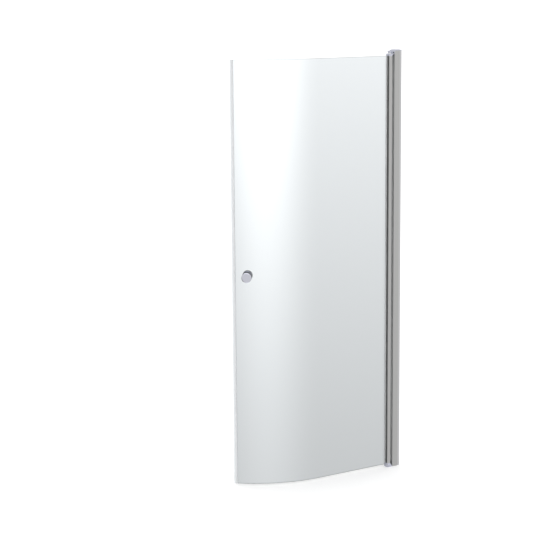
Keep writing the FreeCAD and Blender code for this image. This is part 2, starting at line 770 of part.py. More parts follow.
def stile_profile():
    """The aluminium stile: a tube for the plugs, a groove for the glass and one for the hinge seal."""
    section = corners(stile_left, stile_right, room_y, stile_back_y)
    height = stile_top - stile_foot
    stile = prism("stile_body", section, stile_foot, height)
    chamber = corners(stile_left + stile_wall, stile_right - stile_wall, chamber_front_y, chamber_back_y)
    hollow(stile, "stile_chamber", chamber, stile_foot, height)
    groove_floor = glass_edge_x + glass_end_gap
    groove = corners(stile_left, groove_floor, groove_front_y, groove_back_y)
    hollow(stile, "glass_groove", groove, stile_foot, height)
    places = [
        (stile_left, room_y),
        (stile_right, room_y),
        (stile_right, stile_back_y),
    ]
    round_edges(stile, "stile_edges", stile_round, places)
    round_edges(stile, "stile_lip", stile_back_wall / 2, [(stile_left, stile_back_y)])
    front = root_front - fit_gap
    back = root_back + fit_gap
    narrow = fin_thickness / 2 + fit_gap
    middle = (fin_front + fin_back) / 2
    inner = stile_right - stile_wall / 2 - fin_root - fit_gap
    foot = stile_foot - stile_wall
    top = stile_top + stile_wall
    tools = [
        box("seal_groove", inner, stile_right - stile_wall / 2, front, back, foot, top),
        box("seal_mouth", inner, stile_right + stile_wall, middle - narrow, middle + narrow, foot, top),
    ]
    for index, level in enumerate(plug_screw_levels):
        name = f"stile_screw_hole_{index}"
        tools += countersink(name, stile_right, plug_screw_y, level, ALONG_DOOR)
    return node(cut("stile_cut", stile, tools), "stile_profile")


def plug(name, head_foot, head_height, spigot_foot, spigot_top, wide_end, bore_foot, bore_top, screw_level):
    """A stile plug: a head with the stile's footprint, a nose towards the post, and a spigot."""
    section = corners(stile_left, stile_right, room_y, stile_back_y)
    head = prism(f"{name}_head", section, head_foot, head_height)
    places = [(x, y) for x in (stile_left, stile_right) for y in (room_y, stile_back_y)]
    round_edges(head, f"{name}_edges", stile_round, places)
    cone = document.addObject("Part::Cone", f"{name}_cone")
    slope = head_height - nose_edge
    low, high = (nose_root, nose_radius) if wide_end == "top" else (nose_radius, nose_root)
    bind(cone, Radius1=low, Radius2=high, Height=slope)
    cone_foot = head_foot if wide_end == "top" else head_foot + nose_edge
    edge_foot = head_foot + slope if wide_end == "top" else head_foot
    place(cone, pivot_x, pivot_y, cone_foot)
    edge = rod(f"{name}_nose_edge", nose_radius, nose_edge, pivot_x, pivot_y, edge_foot)
    flare = fuse(f"{name}_flare", [cone, edge])
    space = box(
        f"{name}_nose_space",
        pivot_x,
        pivot_x + nose_radius * 2,
        room_y,
        stile_back_y,
        head_foot,
        head_foot + head_height,
    )
    nose = common(f"{name}_nose", flare, space)
    spigot = box(
        f"{name}_spigot",
        stile_left + stile_wall + fit_gap,
        stile_right - stile_wall - fit_gap,
        chamber_front_y + fit_gap,
        chamber_back_y - fit_gap,
        spigot_foot,
        spigot_top,
    )
    bore = rod(f"{name}_bore", bush_radius, bore_top - bore_foot, pivot_x, pivot_y, bore_foot)
    solid = fuse(f"{name}_solid", [head, nose, spigot])
    tools = [bore] + countersink(f"{name}_screw_hole", stile_right, plug_screw_y, screw_level, ALONG_DOOR)
    if wide_end == "foot":
        # The pane reaches lower than the stile, so this plug's head is slotted for it.
        right = glass_edge_x + fit_gap
        front = glass_outer_y - fit_gap
        back = glass_inner_y + fit_gap
        foot = glass_foot - fit_gap
        left = stile_left - stile_wall
        tools.append(box(f"{name}_glass_slot", left, right, front, back, foot, stile_foot + stile_wall))
    return node(cut(f"{name}_cut", solid, tools), name)


def top_stile_plug():
    bore_foot = bush_top - bush_length
    return plug(
        "top_stile_plug",
        stile_top,
        plug_head,
        stile_top - plug_spigot,
        stile_top + stile_wall,
        "top",
        bore_foot,
        plug_top + stile_wall,
        plug_screw_levels[1],
    )


def bottom_stile_plug():
    foot = foot_plate + washer_height + washer_gap
    return plug(
        "bottom_stile_plug",
        foot,
        foot_plug_head,
        stile_foot - stile_wall,
        stile_foot + plug_spigot,
        "foot",
        foot - stile_wall,
        foot + bush_length,
        plug_screw_levels[0],
    )


def top_pivot_bush():
    """The plastic top bush, hung in the plug by its collar."""
    inner = pin_radius + pin_clearance
    low = collar_height - bush_length
    section = [
        (inner, low),
        (bush_radius, low),
        (bush_radius, 0),
        (collar_radius, 0),
        (collar_radius, collar_height),
        (inner, collar_height),
    ]
    bush = turned("top_bush_body", section)
    return node(place(bush, pivot_x, pivot_y, plug_top), "top_pivot_bush")


def bottom_pivot_bush():
    """The plastic bottom bush, flush with the plug's underside."""
    inner = pin_radius + pin_clearance
    bush = turned("bottom_bush_body", corners(inner, bush_radius, 0, bush_length))
    return node(place(bush, pivot_x, pivot_y, foot_plate + washer_height + washer_gap), "bottom_pivot_bush")


def plug_screws():
    """One screw through the stile's hinge side into each plug's spigot."""
    screws = []
    for index, level in enumerate(plug_screw_levels):
        screws.append(small_screw(f"plug_screw_{index}", stile_right, plug_screw_y, level, ALONG_DOOR))
    return node(group("plug_screw_group", screws), "plug_screws")


def knob_turn():
    """How far round the bend the knob sits, in degrees."""
    return bend_turn - knob_inset / bend_radius * (180 / math.pi)


def at_knob(thing):
    """Places a part at the knob: its Z axis leaves the glass's outer face squarely."""
    turn = knob_turn()
    x = bend_x - bend_radius * sine(turn)
    y = bend_y - bend_radius * cosine(turn)
    return place(thing, x, y, knob_height, -turn, 0, 90)


def glass_pane():
    """The 6 mm pane: flat from the stile, then bent towards the shower, with a ground edge."""
    inner_radius = bend_radius - glass_thickness
    outer_end = (bend_x - bend_radius * sine(bend_turn), bend_y - bend_radius * cosine(bend_turn))
    inner_end = (bend_x - inner_radius * sine(bend_turn), bend_y - inner_radius * cosine(bend_turn))
    section = [
        (glass_edge_x, glass_outer_y),
        (glass_edge_x, glass_inner_y),
        (bend_x, glass_inner_y, bend_x, bend_y, -1),
        inner_end,
        (*outer_end, bend_x, bend_y, 1),
        (bend_x, glass_outer_y),
    ]
    height = stile_top - glass_foot
    pane = prism("glass_body", section, glass_foot, height)
    names = []
    for index, edge in enumerate(pane.Shape.Edges):
        first, last = edge.Vertexes[0].Point, edge.Vertexes[-1].Point
        level = abs(first.z - last.z) < 1e-6
        rim = level and min(first.x, last.x) < (glass_edge_x - fit_gap).number
        free_end = max(first.x, last.x) < (bend_x - fit_gap).number
        if rim or free_end:
            names.append(f"Edge{index + 1}")
    base = pane.Tip
    bevel = pane.newObject("PartDesign::Chamfer", "glass_bevel_edge")
    bevel.Base = (base, names)
    bind(bevel, Size=glass_bevel)
    document.recompute()
    hole = document.addObject("Part::Cylinder", "glass_hole")
    bind(hole, Radius=glass_hole_radius, Height=glass_thickness * 3)
    turn = knob_turn()
    reach = bend_radius - glass_thickness * 2
    place(hole, bend_x - reach * sine(turn), bend_y - reach * cosine(turn), knob_height, -turn, 0, 90)
    return node(cut("glass_cut", pane, [hole]), "glass_pane")


def glazing_gasket(name, wall_y, glass_y, outward):
    """A soft strip between the groove's wall and the glass, with a lip that covers the joint."""
    lip_y = wall_y + gasket_lip_rise * outward
    section = [
        (stile_left - gasket_lip, glass_y),
        (stile_left - gasket_lip, wall_y),
        (stile_left - gasket_lip + gasket_lip_rise, lip_y),
        (stile_left, lip_y),
        (stile_left, wall_y),
        (glass_edge_x, wall_y),
        (glass_edge_x, glass_y),
    ]
    strip = prism(f"{name}_body", section, stile_foot, stile_top - stile_foot)
    return node(strip, name)


def hinge_seal():
    """The clear fin in the hinge gap: a foot held in the stile's groove and a blade towards the post."""
    foot_left = stile_right - stile_wall / 2 - fin_root
    foot_right = stile_right - stile_wall / 2 - fit_gap
    tip = stile_right + fin_reach
    section = [
        (foot_left, root_front),
        (foot_right, root_front),
        (foot_right, fin_front),
        (tip, fin_front),
        (tip, fin_back),
        (foot_right, fin_back),
        (foot_right, root_back),
        (foot_left, root_back),
    ]
    return node(prism("hinge_seal_body", section, stile_foot, stile_top - stile_foot), "hinge_seal")


def leading_edge_seal():
    """The clear strip that grips the glass's free edge and ends in a fin."""
    grip = glass_thickness / 2 + fit_gap
    outer = grip + edge_seal_wall
    fin = edge_seal_fin_width / 2
    section = [
        (-edge_seal_grip, -outer),
        (edge_seal_web, -outer),
        (edge_seal_web * 2, -fin),
        (edge_seal_fin, -fin),
        (edge_seal_fin, fin),
        (edge_seal_web * 2, fin),
        (edge_seal_web, outer),
        (-edge_seal_grip, outer),
        (-edge_seal_grip, grip),
        (0, grip),
        (0, -grip),
        (-edge_seal_grip, -grip),
    ]
    seal = prism("leading_edge_seal_body", section, 0, stile_top - glass_foot)
    middle = bend_radius - glass_thickness / 2
    x = bend_x - middle * sine(bend_turn)
    y = bend_y - middle * cosine(bend_turn)
    place(seal, x, y, glass_foot, 180 - bend_turn)
    return node(seal, "leading_edge_seal")


def knob_section(foot, outward):
    """Half of a knob with its blind hole, from the washer's face at the foot level."""
    end = foot + knob_length * outward
    shoulder = end - knob_bevel * outward
    hole = foot + (stud_bite + fit_gap) * outward
    inner = stud_radius
    return [
        (inner, foot),
        (knob_radius, foot),
        (knob_radius, shoulder),
        (knob_radius - knob_bevel, end),
        (0, end),
        (0, hole),
        (inner, hole),
    ]


def outer_knob():
    """The knob on the room side, screwed on to the stud."""
    knob = turned("outer_knob_body", knob_section(knob_washer, 1))
    return node(at_knob(knob), "outer_knob")


def inner_knob():
    """The knob on the shower side, with a hole from below for its set screw."""
    foot = -(glass_thickness + knob_washer)
    knob = turned("inner_knob_body", knob_section(foot, -1))
    at_knob(knob)
    hole = set_screw_rod("inner_knob_screw_hole", knob_radius * 2)
    return node(cut("inner_knob_cut", knob, [hole]), "inner_knob")


def set_screw_place():
    """Where the inner knob's set screw stands, halfway along the stud's grip in that knob."""
    turn = knob_turn()
    reach = bend_radius - glass_thickness - knob_washer - stud_bite / 2
    return bend_x - reach * sine(turn), bend_y - reach * cosine(turn)


def set_screw_rod(name, length):
    """A rod from the stud straight down through the inner knob."""
    x, y = set_screw_place()
    return rod(name, set_screw_radius, length, x, y, knob_height - stud_radius, 0, 180, 0)


def knob_set_screw():
    """The set screw that locks the inner knob on the stud."""
    screw = set_screw_rod("knob_screw", set_screw_length)
    x, y = set_screw_place()
    z = knob_height - stud_radius - set_screw_length
    socket = hexagon("knob_screw_socket", small_socket, socket_depth, x, y, z)
    return node(cut("knob_screw_cut", screw, [socket]), "knob_set_screw")


def knob_stud():
    """The threaded stud through the glass that joins the two knobs."""
    foot = -(glass_thickness + knob_washer + stud_bite)
    section = corners(0, stud_radius, foot, knob_washer + stud_bite)
    return node(at_knob(turned("knob_stud_body", section)), "knob_stud")


def knob_washers(pane):
    """The soft washers that keep the knobs off the glass, the inner one pressed to its hollow face."""
    inner = stud_radius + fit_gap
    outer = turned("outer_washer_body", corners(inner, knob_washer_radius, 0, knob_washer))
    node(at_knob(outer), "outer_knob_washer")
    low = -(glass_thickness + knob_washer)
    back = turned("inner_washer_body", corners(inner, knob_washer_radius, low, -glass_thickness))
    at_knob(back)
    return node(cut("inner_washer_cut", back, [pane]), "inner_knob_washer")


def knob_sleeve():
    """The plastic sleeve that lines the hole in the glass."""
    inner = stud_radius + fit_gap
    outer = glass_hole_radius - fit_gap
    section = corners(inner, outer, -(glass_thickness - fit_gap), -fit_gap)
    return node(at_knob(turned("knob_sleeve_body", section)), "knob_sleeve")


# ---------------------------------------------------------------------------------------------
# Assembly
# ---------------------------------------------------------------------------------------------

wall_channel()
adjusting_screws()
adjusting_screw_covers()
top_cap()

post_profile()
top_bearing_bracket()
top_bracket_cover()
top_pivot_pin()
top_lock_screw()
bottom_bearing_bracket()
bottom_pivot_pin()
thrust_washer()
bracket_screws()

stile_profile()
top_stile_plug()
bottom_stile_plug()
top_pivot_bush()
bottom_pivot_bush()
plug_screws()
pane = glass_pane()
glazing_gasket("outer_glazing_gasket", groove_front_y, glass_outer_y, -1)
glazing_gasket("inner_glazing_gasket", groove_back_y, glass_inner_y, 1)
hinge_seal()
leading_edge_seal()
outer_knob()
inner_knob()
knob_stud()
knob_washers(pane)
knob_sleeve()
knob_set_screw()

document.recompute()

for thing in document.Objects:
    if "Invalid" in thing.State or "Error" in thing.State:
        raise RuntimeError(f"{thing.Label} failed")
for part in NODES:
    if part.Shape.isNull() or not part.Shape.isValid():
        raise RuntimeError(f"{part.Label} has a bad shape")

os.makedirs("parts", exist_ok=True)
for part in NODES:
    part.Shape.exportStep(f"parts/{part.Label}.step")
    print(part.Label, len(part.Shape.Solids), round(part.Shape.Volume, 1))
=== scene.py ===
import bmesh
import bpy
import numpy as np
from mathutils import Matrix, Vector


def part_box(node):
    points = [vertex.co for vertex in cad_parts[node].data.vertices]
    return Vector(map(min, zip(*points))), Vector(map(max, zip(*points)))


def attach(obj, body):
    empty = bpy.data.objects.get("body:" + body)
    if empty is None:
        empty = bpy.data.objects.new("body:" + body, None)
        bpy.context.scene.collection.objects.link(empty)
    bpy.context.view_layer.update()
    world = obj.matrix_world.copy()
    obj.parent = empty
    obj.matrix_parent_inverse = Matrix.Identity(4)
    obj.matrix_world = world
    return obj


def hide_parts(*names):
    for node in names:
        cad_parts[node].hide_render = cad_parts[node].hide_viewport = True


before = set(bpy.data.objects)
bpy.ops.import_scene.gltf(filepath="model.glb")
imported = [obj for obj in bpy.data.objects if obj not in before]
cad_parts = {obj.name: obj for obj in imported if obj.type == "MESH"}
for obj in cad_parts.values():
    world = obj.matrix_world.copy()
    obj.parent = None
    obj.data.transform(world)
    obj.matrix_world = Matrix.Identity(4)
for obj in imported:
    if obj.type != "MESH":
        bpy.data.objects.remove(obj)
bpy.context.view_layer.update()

# ---------------------------------------------------------------------------------------------
# Wall channel and post
# Two aluminium extrusions, one sliding over the other, brushed lightly along their length and then
# anodised a natural satin silver. The channel is screwed on through its back, the post clamped to it.
# ---------------------------------------------------------------------------------------------


def linear(colour):
    """An sRGB hex colour as the four linear values that shaders use.

    Each channel c becomes c / 12.92 below 0.04045 and ((c + 0.055) / 1.055) to the power 2.4 above."""
    channels = [int(colour[start : start + 2], 16) / 255 for start in (1, 3, 5)]
    return [c / 12.92 if c <= 0.04045 else ((c + 0.055) / 1.055) ** 2.4 for c in channels] + [1.0]


def add(tree, kind, inputs=(), **settings):
    """Adds one node: settings are its properties, inputs are its sockets' values or what feeds them.
    Inputs go by their names, or by their numbers where names repeat."""
    made = tree.nodes.new(kind)
    for name, value in settings.items():
        setattr(made, name, value)
    for name, value in dict(inputs).items():
        if isinstance(value, bpy.types.NodeSocket):
            tree.links.new(value, made.inputs[name])
        else:
            made.inputs[name].default_value = value
    return made


def start_material(name):
    """An empty node material, its tree and its Object coordinates, which are metres in the part's frame."""
    material = bpy.data.materials.new(name)
    material.use_nodes = True
    tree = material.node_tree
    tree.nodes.clear()
    place = add(tree, "ShaderNodeTexCoord").outputs["Object"]
    return material, tree, place


def satin_aluminium(name, dark, light):
    """Natural anodised 6063 extrusion. The die draws fine lines along the length, the brushing softens
    them and the oxide film dulls the metal, so the eye sees long streaks and a broad soft gloss."""
    material, tree, place = start_material(name)
    line_spacing = 0.0009  # real die lines are about 0.2 mm apart, too fine to show, so these are coarser
    line_length = 7.0  # longer than the extrusion, so a streak hardly changes along it
    line_depth = 0.00003
    cloud_size = 0.12
    stretch = (1 / line_spacing, 1 / line_spacing, 1 / line_length)
    along = add(tree, "ShaderNodeMapping", {"Vector": place, "Scale": stretch}).outputs["Vector"]
    lines = add(tree, "ShaderNodeTexNoise", {"Vector": along, "Scale": 1.0, "Detail": 1.5}).outputs["Fac"]
    clouds = add(tree, "ShaderNodeTexNoise", {"Vector": place, "Scale": 1 / cloud_size}).outputs["Fac"]
    both = add(tree, "ShaderNodeMath", {0: lines, 1: clouds}, operation="MULTIPLY").outputs["Value"]
    tones = {0: lines, 6: linear(dark), 7: linear(light)}  # inputs 6 and 7 are the colours to mix
    tint = add(tree, "ShaderNodeMix", tones, data_type="RGBA").outputs[2]
    dulling = {"Value": both, "To Min": 0.28, "To Max": 0.36}
    dullness = add(tree, "ShaderNodeMapRange", dulling).outputs["Result"]
    dents = add(tree, "ShaderNodeBump", {"Height": lines, "Strength": 0.2, "Distance": line_depth})
    shader = add(
        tree,
        "ShaderNodeBsdfPrincipled",
        {
            "Base Color": tint,
            "Metallic": 1.0,
            "Roughness": dullness,
            "Normal": dents.outputs["Normal"],
        },
    )
    add(tree, "ShaderNodeOutputMaterial", {"Surface": shader.outputs["BSDF"]})
    return material


aluminium = satin_aluminium("satin_anodised_aluminium", "#C3C3C2", "#CDCDCC")
# The wall channel's copy of the same satin finish is lighter: its extra lightness is painted light.
lighter_painted_aluminium = satin_aluminium("satin_aluminium_painted_lighter", "#D2D3D4", "#DBDCDD")


def finish_node(name, material):
    """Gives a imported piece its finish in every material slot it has."""
    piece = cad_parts[name]
    for index in range(len(piece.material_slots)):
        piece.material_slots[index].material = material


# The channel takes the lighter copy, whose extra lightness is painted light.
finish_node("wall_channel", lighter_painted_aluminium)
finish_node("post_profile", aluminium)

# ---------------------------------------------------------------------------------------------
# Adjusting screws and their covers
# Three stainless socket screws clamp the post to the channel from the shower side. Each head hides
# under a domed cover of moulded plastic that snaps over it.
# ---------------------------------------------------------------------------------------------


def bright_stainless():
    """Turned 304 stainless steel. The lathe leaves fine rings and small changes of gloss."""
    material, tree, place = start_material("bright_stainless")
    ring_spacing = 0.0006  # real feed marks are about 0.1 mm apart, so these are coarser
    ring_depth = 0.00002
    turning = {"Vector": place, "Scale": 1 / ring_spacing, "Detail": 2.0}
    marks = add(tree, "ShaderNodeTexNoise", turning).outputs["Fac"]
    tones = {0: marks, 6: linear("#B9B8B6"), 7: linear("#CBCAC8")}
    tint = add(tree, "ShaderNodeMix", tones, data_type="RGBA").outputs[2]
    dulling = {"Value": marks, "To Min": 0.16, "To Max": 0.32}
    dullness = add(tree, "ShaderNodeMapRange", dulling).outputs["Result"]
    dents = add(tree, "ShaderNodeBump", {"Height": marks, "Strength": 0.2, "Distance": ring_depth})
    shader = add(
        tree,
        "ShaderNodeBsdfPrincipled",
        {
            "Base Color": tint,
            "Metallic": 1.0,
            "Roughness": dullness,
            "Normal": dents.outputs["Normal"],
        },
    )
    add(tree, "ShaderNodeOutputMaterial", {"Surface": shader.outputs["BSDF"]})
    return material


def moulded_plastic(name, dark, light, gloss):
    """Injection-moulded ABS with a fine spark-eroded texture: an even colour with a faint mottle where the
    melt flowed, and a soft broken gloss."""
    material, tree, place = start_material(name)
    pit_size = 0.0009  # the real erosion grain is about 0.1 mm, so this is drawn coarser
    pit_depth = 0.00005
    gloss_change = 0.14
    flow_size = 0.02
    eroded = {"Vector": place, "Scale": 1 / pit_size, "Detail": 4.0}
    pits = add(tree, "ShaderNodeTexNoise", eroded).outputs["Fac"]
    mottle = add(tree, "ShaderNodeTexNoise", {"Vector": place, "Scale": 1 / flow_size}).outputs["Fac"]
    tones = {0: mottle, 6: linear(dark), 7: linear(light)}
    tint = add(tree, "ShaderNodeMix", tones, data_type="RGBA").outputs[2]
    dulling = {"Value": pits, "To Min": gloss, "To Max": gloss + gloss_change}
    dullness = add(tree, "ShaderNodeMapRange", dulling).outputs["Result"]
    dents = add(tree, "ShaderNodeBump", {"Height": pits, "Strength": 0.3, "Distance": pit_depth})
    shader = add(
        tree,
        "ShaderNodeBsdfPrincipled",
        {
            "Base Color": tint,
            "Roughness": dullness,
            "Normal": dents.outputs["Normal"],
        },
    )
    add(tree, "ShaderNodeOutputMaterial", {"Surface": shader.outputs["BSDF"]})
    return material


def grid_faces(rows, columns, wrap):
    """Corner numbers of the quads between neighbouring rows and columns of a grid of points. Where wrap
    is true the last column joins the first."""
    across = columns if wrap else columns - 1
    row, column = np.meshgrid(np.arange(rows - 1), np.arange(across), indexing="ij")
    after = (column + 1) % columns
    quads = (row * columns + column, row * columns + after, (row + 1) * columns + after)
    return np.stack([*quads, (row + 1) * columns + column], axis=-1).reshape(-1, 4)


def build(name, points, faces, crease=35.0, marks=None):
    """A mesh object from a point array and a list of faces. Doubled points merge, faces turn outwards,
    and edges sharper than the crease angle stay sharp. Marks give each face its material slot."""
    mesh = bpy.data.meshes.new(name)
    mesh.from_pydata(np.asarray(points).reshape(-1, 3).tolist(), [], [list(map(int, f)) for f in faces])
    if marks is not None:
        mesh.polygons.foreach_set("material_index", np.asarray(marks, dtype=np.int32))
    work = bmesh.new()
    work.from_mesh(mesh)
    bmesh.ops.remove_doubles(work, verts=work.verts, dist=2e-6)
    bmesh.ops.dissolve_degenerate(work, edges=work.edges, dist=1e-7)
    bmesh.ops.recalc_face_normals(work, faces=work.faces)
    work.to_mesh(mesh)
    work.free()
    mesh.polygons.foreach_set("use_smooth", np.ones(len(mesh.polygons), dtype=bool))
    mesh.set_sharp_from_angle(angle=np.radians(crease))
    piece = bpy.data.objects.new(name, mesh)
    bpy.context.scene.collection.objects.link(piece)
    return piece


def dress(piece, materials, body, node):
    """Gives a new piece its materials and its body, and hides the imported node it stands for."""
    for material in materials:
        piece.data.materials.append(material)
    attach(piece, body)
    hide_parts(node)
    return piece


def lathe(outline, centre, axis, steps=64):
    """An outline of (radius, height) points turned about an axis through the centre: each point goes to
    centre + axis * height + radius * (cos a * side + sin a * up) for angles a all round."""
    axis = np.array(axis) / np.linalg.norm(axis)
    side = np.cross(axis, [0.0, 0.0, 1.0] if abs(axis[2]) < 0.9 else [1.0, 0.0, 0.0])
    side /= np.linalg.norm(side)
    up = np.cross(axis, side)
    outline = np.asarray(outline)
    angle = np.linspace(0, 2 * np.pi, steps, endpoint=False)
    ring = np.cos(angle)[:, None] * side + np.sin(angle)[:, None] * up
    points = centre + outline[:, 1, None, None] * axis + outline[:, 0, None, None] * ring[None]
    return points.reshape(-1, 3), grid_faces(len(outline), steps, True)


def joined(solids):
    """Several (points, faces) pairs as one. A face may have any number of corners."""
    points, faces, count = [], [], 0
    for solid_points, solid_faces in solids:
        points.append(np.asarray(solid_points).reshape(-1, 3))
        faces += [[int(corner) + count for corner in face] for face in solid_faces]
        count += len(points[-1])
    return np.concatenate(points), faces


stainless = bright_stainless()
cool_plastic = moulded_plastic("cool_grey_abs", "#B2B4C1", "#BCBECA", 0.34)
finish_node("adjusting_screws", stainless)

cover_low, cover_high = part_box("adjusting_screw_covers")
cover_radius = (cover_high.x - cover_low.x) / 2
cover_depth = cover_high.y - cover_low.y
cover_skin = 0.0012
cover_inside = cover_radius - cover_skin
cover_ceiling = cover_depth - cover_skin
cover_inner = [[0.0, cover_ceiling], [cover_inside, cover_ceiling], [cover_inside, 0.0], [cover_radius, 0.0]]
dome = np.radians(np.linspace(0, 90, 9))
dome_radius = 0.0021
cover_outer = np.stack(
    [
        cover_radius - dome_radius * (1 - np.cos(dome)),
        cover_depth - dome_radius * (1 - np.sin(dome)),
    ],
    axis=1,
)
cover_outline = np.concatenate([cover_inner, cover_outer, [[0.0, cover_depth]]])
cover_levels = np.linspace(cover_low.z + cover_radius, cover_high.z - cover_radius, 3)
cover_x = (cover_low.x + cover_high.x) / 2
covers = [lathe(cover_outline, [cover_x, cover_low.y, level], [0, 1, 0], steps=48) for level in cover_levels]
screw_covers = build("screw_covers", *joined(covers))
dress(screw_covers, [cool_plastic], "wall_side", "adjusting_screw_covers")

# ---------------------------------------------------------------------------------------------
# Top cap
# One plastic moulding closes the channel and the post at the top. Its plug is pushed into the channel
# and its crowned top runs out to softly rounded rims.
# ---------------------------------------------------------------------------------------------

cap_low, cap_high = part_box("top_cap")
post_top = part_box("post_profile")[1].z
channel_low, channel_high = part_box("wall_channel")
cap_gap = 0.0003
cap_foot = post_top + cap_gap
cap_crown = 0.004
cap_rim = 0.0011
cap_corners = (0.0025, 0.0006, 0.0006, 0.0025)
cap_middle = np.array([(cap_low.x + cap_high.x) / 2, (cap_low.y + cap_high.y) / 2])
cap_half = np.array([(cap_high.x - cap_low.x) / 2, (cap_high.y - cap_low.y) / 2])


def rounded(corners, steps=5):
    """A closed outline through (x, y, radius) corners. A corner with a radius r becomes the arc that
    touches both its sides: it starts r times the tangent of half the turn before the corner. A corner
    without a radius, or on a straight line, stays a point."""
    spots = np.array([corner[:2] for corner in corners], dtype=float)
    found = []
    for index, here in enumerate(spots):
        radius = corners[index][2]
        back = spots[index - 1] - here
        ahead = spots[(index + 1) % len(spots)] - here
        back /= np.linalg.norm(back)
        ahead /= np.linalg.norm(ahead)
        half = np.arccos(np.clip(back @ ahead, -1, 1)) / 2
        if radius <= 0 or half > np.radians(89.9):
            found.append(here[None])
            continue
        middle = here + (back + ahead) / np.linalg.norm(back + ahead) * radius / np.sin(half)
        first = here + back * radius / np.tan(half) - middle
        last = here + ahead * radius / np.tan(half) - middle
        share = np.linspace(0, 1, steps + 1)[:, None]
        turn = np.pi - 2 * half
        arc = (np.sin((1 - share) * turn) * first + np.sin(share * turn) * last) / np.sin(turn)
        found.append(middle + arc)
    return np.concatenate(found)


def rounded_box(low, high, radii, steps=6):
    """A rectangle's outline with its own radius at each corner, from the low corner anticlockwise."""
    places = [(low[0], low[1]), (high[0], low[1]), (high[0], high[1]), (low[0], high[1])]
    return rounded([(*place, radius) for place, radius in zip(places, radii)], steps)


def resampled(outline, count):
    """The same closed outline with its points evenly spaced along it."""
    closed = np.concatenate([outline, outline[:1]])
    run = np.concatenate([[0], np.cumsum(np.linalg.norm(np.diff(closed, axis=0), axis=1))])
    share = np.linspace(0, run[-1], count, endpoint=False)
    return np.stack([np.interp(share, run, closed[:, axis]) for axis in (0, 1)], axis=1)


def cap_surface():
    """The crown over the cap's outline. A point lies k of the way from the middle to the rim; its height is
    the crown's parabola across X, less the quarter circle that rounds the last stretch to the rim."""
    around = 160
    rim_rows = 7
    crown_rows = 14
    rim = resampled(rounded_box(cap_low, cap_high, cap_corners, steps=8), around)
    depth = np.linspace(0, cap_rim, rim_rows)
    smallest = float(min(cap_half))
    share = np.concatenate([1 - depth / smallest, np.linspace(1 - cap_rim / smallest, 0, crown_rows)[1:]])
    plan = cap_middle + share[:, None, None] * (rim - cap_middle)[None]
    parabola = ((plan[..., 0] - cap_middle[0]) / cap_half[0]) ** 2
    inside = np.clip((1 - share) * smallest / cap_rim, 0, 1)
    rounding = cap_rim * (1 - np.sqrt(1 - (1 - inside) ** 2))
    height = cap_high.z - cap_crown * parabola - rounding[:, None]
    top = np.concatenate([plan, height[..., None]], axis=-1)
    wall = np.concatenate([rim, np.full((len(rim), 1), cap_foot)], axis=1)
    under = np.tile([*cap_middle, cap_foot], (len(rim), 1))
    points = np.concatenate([under[None], wall[None], top])
    return points, grid_faces(len(points), len(rim), True)


def extruded(outline, foot, top):
    """A closed upright solid: the outline at the foot and at the top, a ring of quads between, and a flat
    face at each end."""
    outline = np.asarray(outline)
    count = len(outline)
    levels = [np.column_stack([outline, np.full(count, level)]) for level in (foot, top)]
    quads = grid_faces(2, count, True).tolist()
    ends = [list(range(count))[::-1], list(range(count, 2 * count))]
    return np.concatenate(levels), quads + ends


plug_inset = 0.0018
plug_back = 0.0021
plug_corner = 0.001
plug_gap = 0.0001
plug_outline = rounded_box(
    (channel_low.x, channel_low.y + plug_inset),
    (channel_high.x - plug_back, channel_high.y - plug_inset),
    (plug_corner,) * 4,
)
cap_plug = extruded(plug_outline, cap_low.z, cap_foot - plug_gap)
top_cap = build("cap", *joined([cap_surface(), cap_plug]))
dress(top_cap, [cool_plastic], "wall_side", "top_cap")

# ---------------------------------------------------------------------------------------------
# Pivot brackets, bracket cover and stile plugs
# Grey plastic mouldings with every edge eased by the tool's small radii. The brackets hook into the
# post, the cover plate is pressed on to the top one, and the plugs close the stile's two ends.
# ---------------------------------------------------------------------------------------------


def eased(name, node, width, crease=30.0):
    """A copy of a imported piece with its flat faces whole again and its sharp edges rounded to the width."""
    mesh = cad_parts[node].data.copy()
    mesh.name = name
    mesh.materials.clear()
    work = bmesh.new()
    work.from_mesh(mesh)
    bmesh.ops.remove_doubles(work, verts=work.verts, dist=1e-6)
    bmesh.ops.dissolve_limit(work, angle_limit=np.radians(1.0), verts=work.verts, edges=work.edges)
    work.to_mesh(mesh)
    work.free()
    mesh.polygons.foreach_set("use_smooth", np.ones(len(mesh.polygons), dtype=bool))
    piece = bpy.data.objects.new(name, mesh)
    bpy.context.scene.collection.objects.link(piece)
    bevel = piece.modifiers.new("easing", "BEVEL")
    bevel.width = width
    bevel.segments = 3
    bevel.limit_method = "ANGLE"
    bevel.angle_limit = np.radians(crease)
    bevel.use_clamp_overlap = True
    bevel.harden_normals = True
    bevel.miter_outer = "MITER_ARC"
    return piece


easing = 0.0005
mouldings = (
    ("pivot_block", "top_bearing_bracket", "post"),
    ("pivot_cover", "top_bracket_cover", "post"),
    ("foot_block", "bottom_bearing_bracket", "post"),
    ("upper_plug", "top_stile_plug", "door"),
    ("lower_plug", "bottom_stile_plug", "door"),
)
eased_pieces = {}
for name, node, body in mouldings:
    moulding = eased(name, node, easing)
    eased_pieces[name] = dress(moulding, [cool_plastic], body, node)

# ---------------------------------------------------------------------------------------------
# Pivots and small screws
# Turned stainless pins run in white acetal bushes, the lower one on an acetal washer that carries the
# door. Small stainless screws hold the mouldings, and an oxide-black set screw clamps the top pin.
# ---------------------------------------------------------------------------------------------


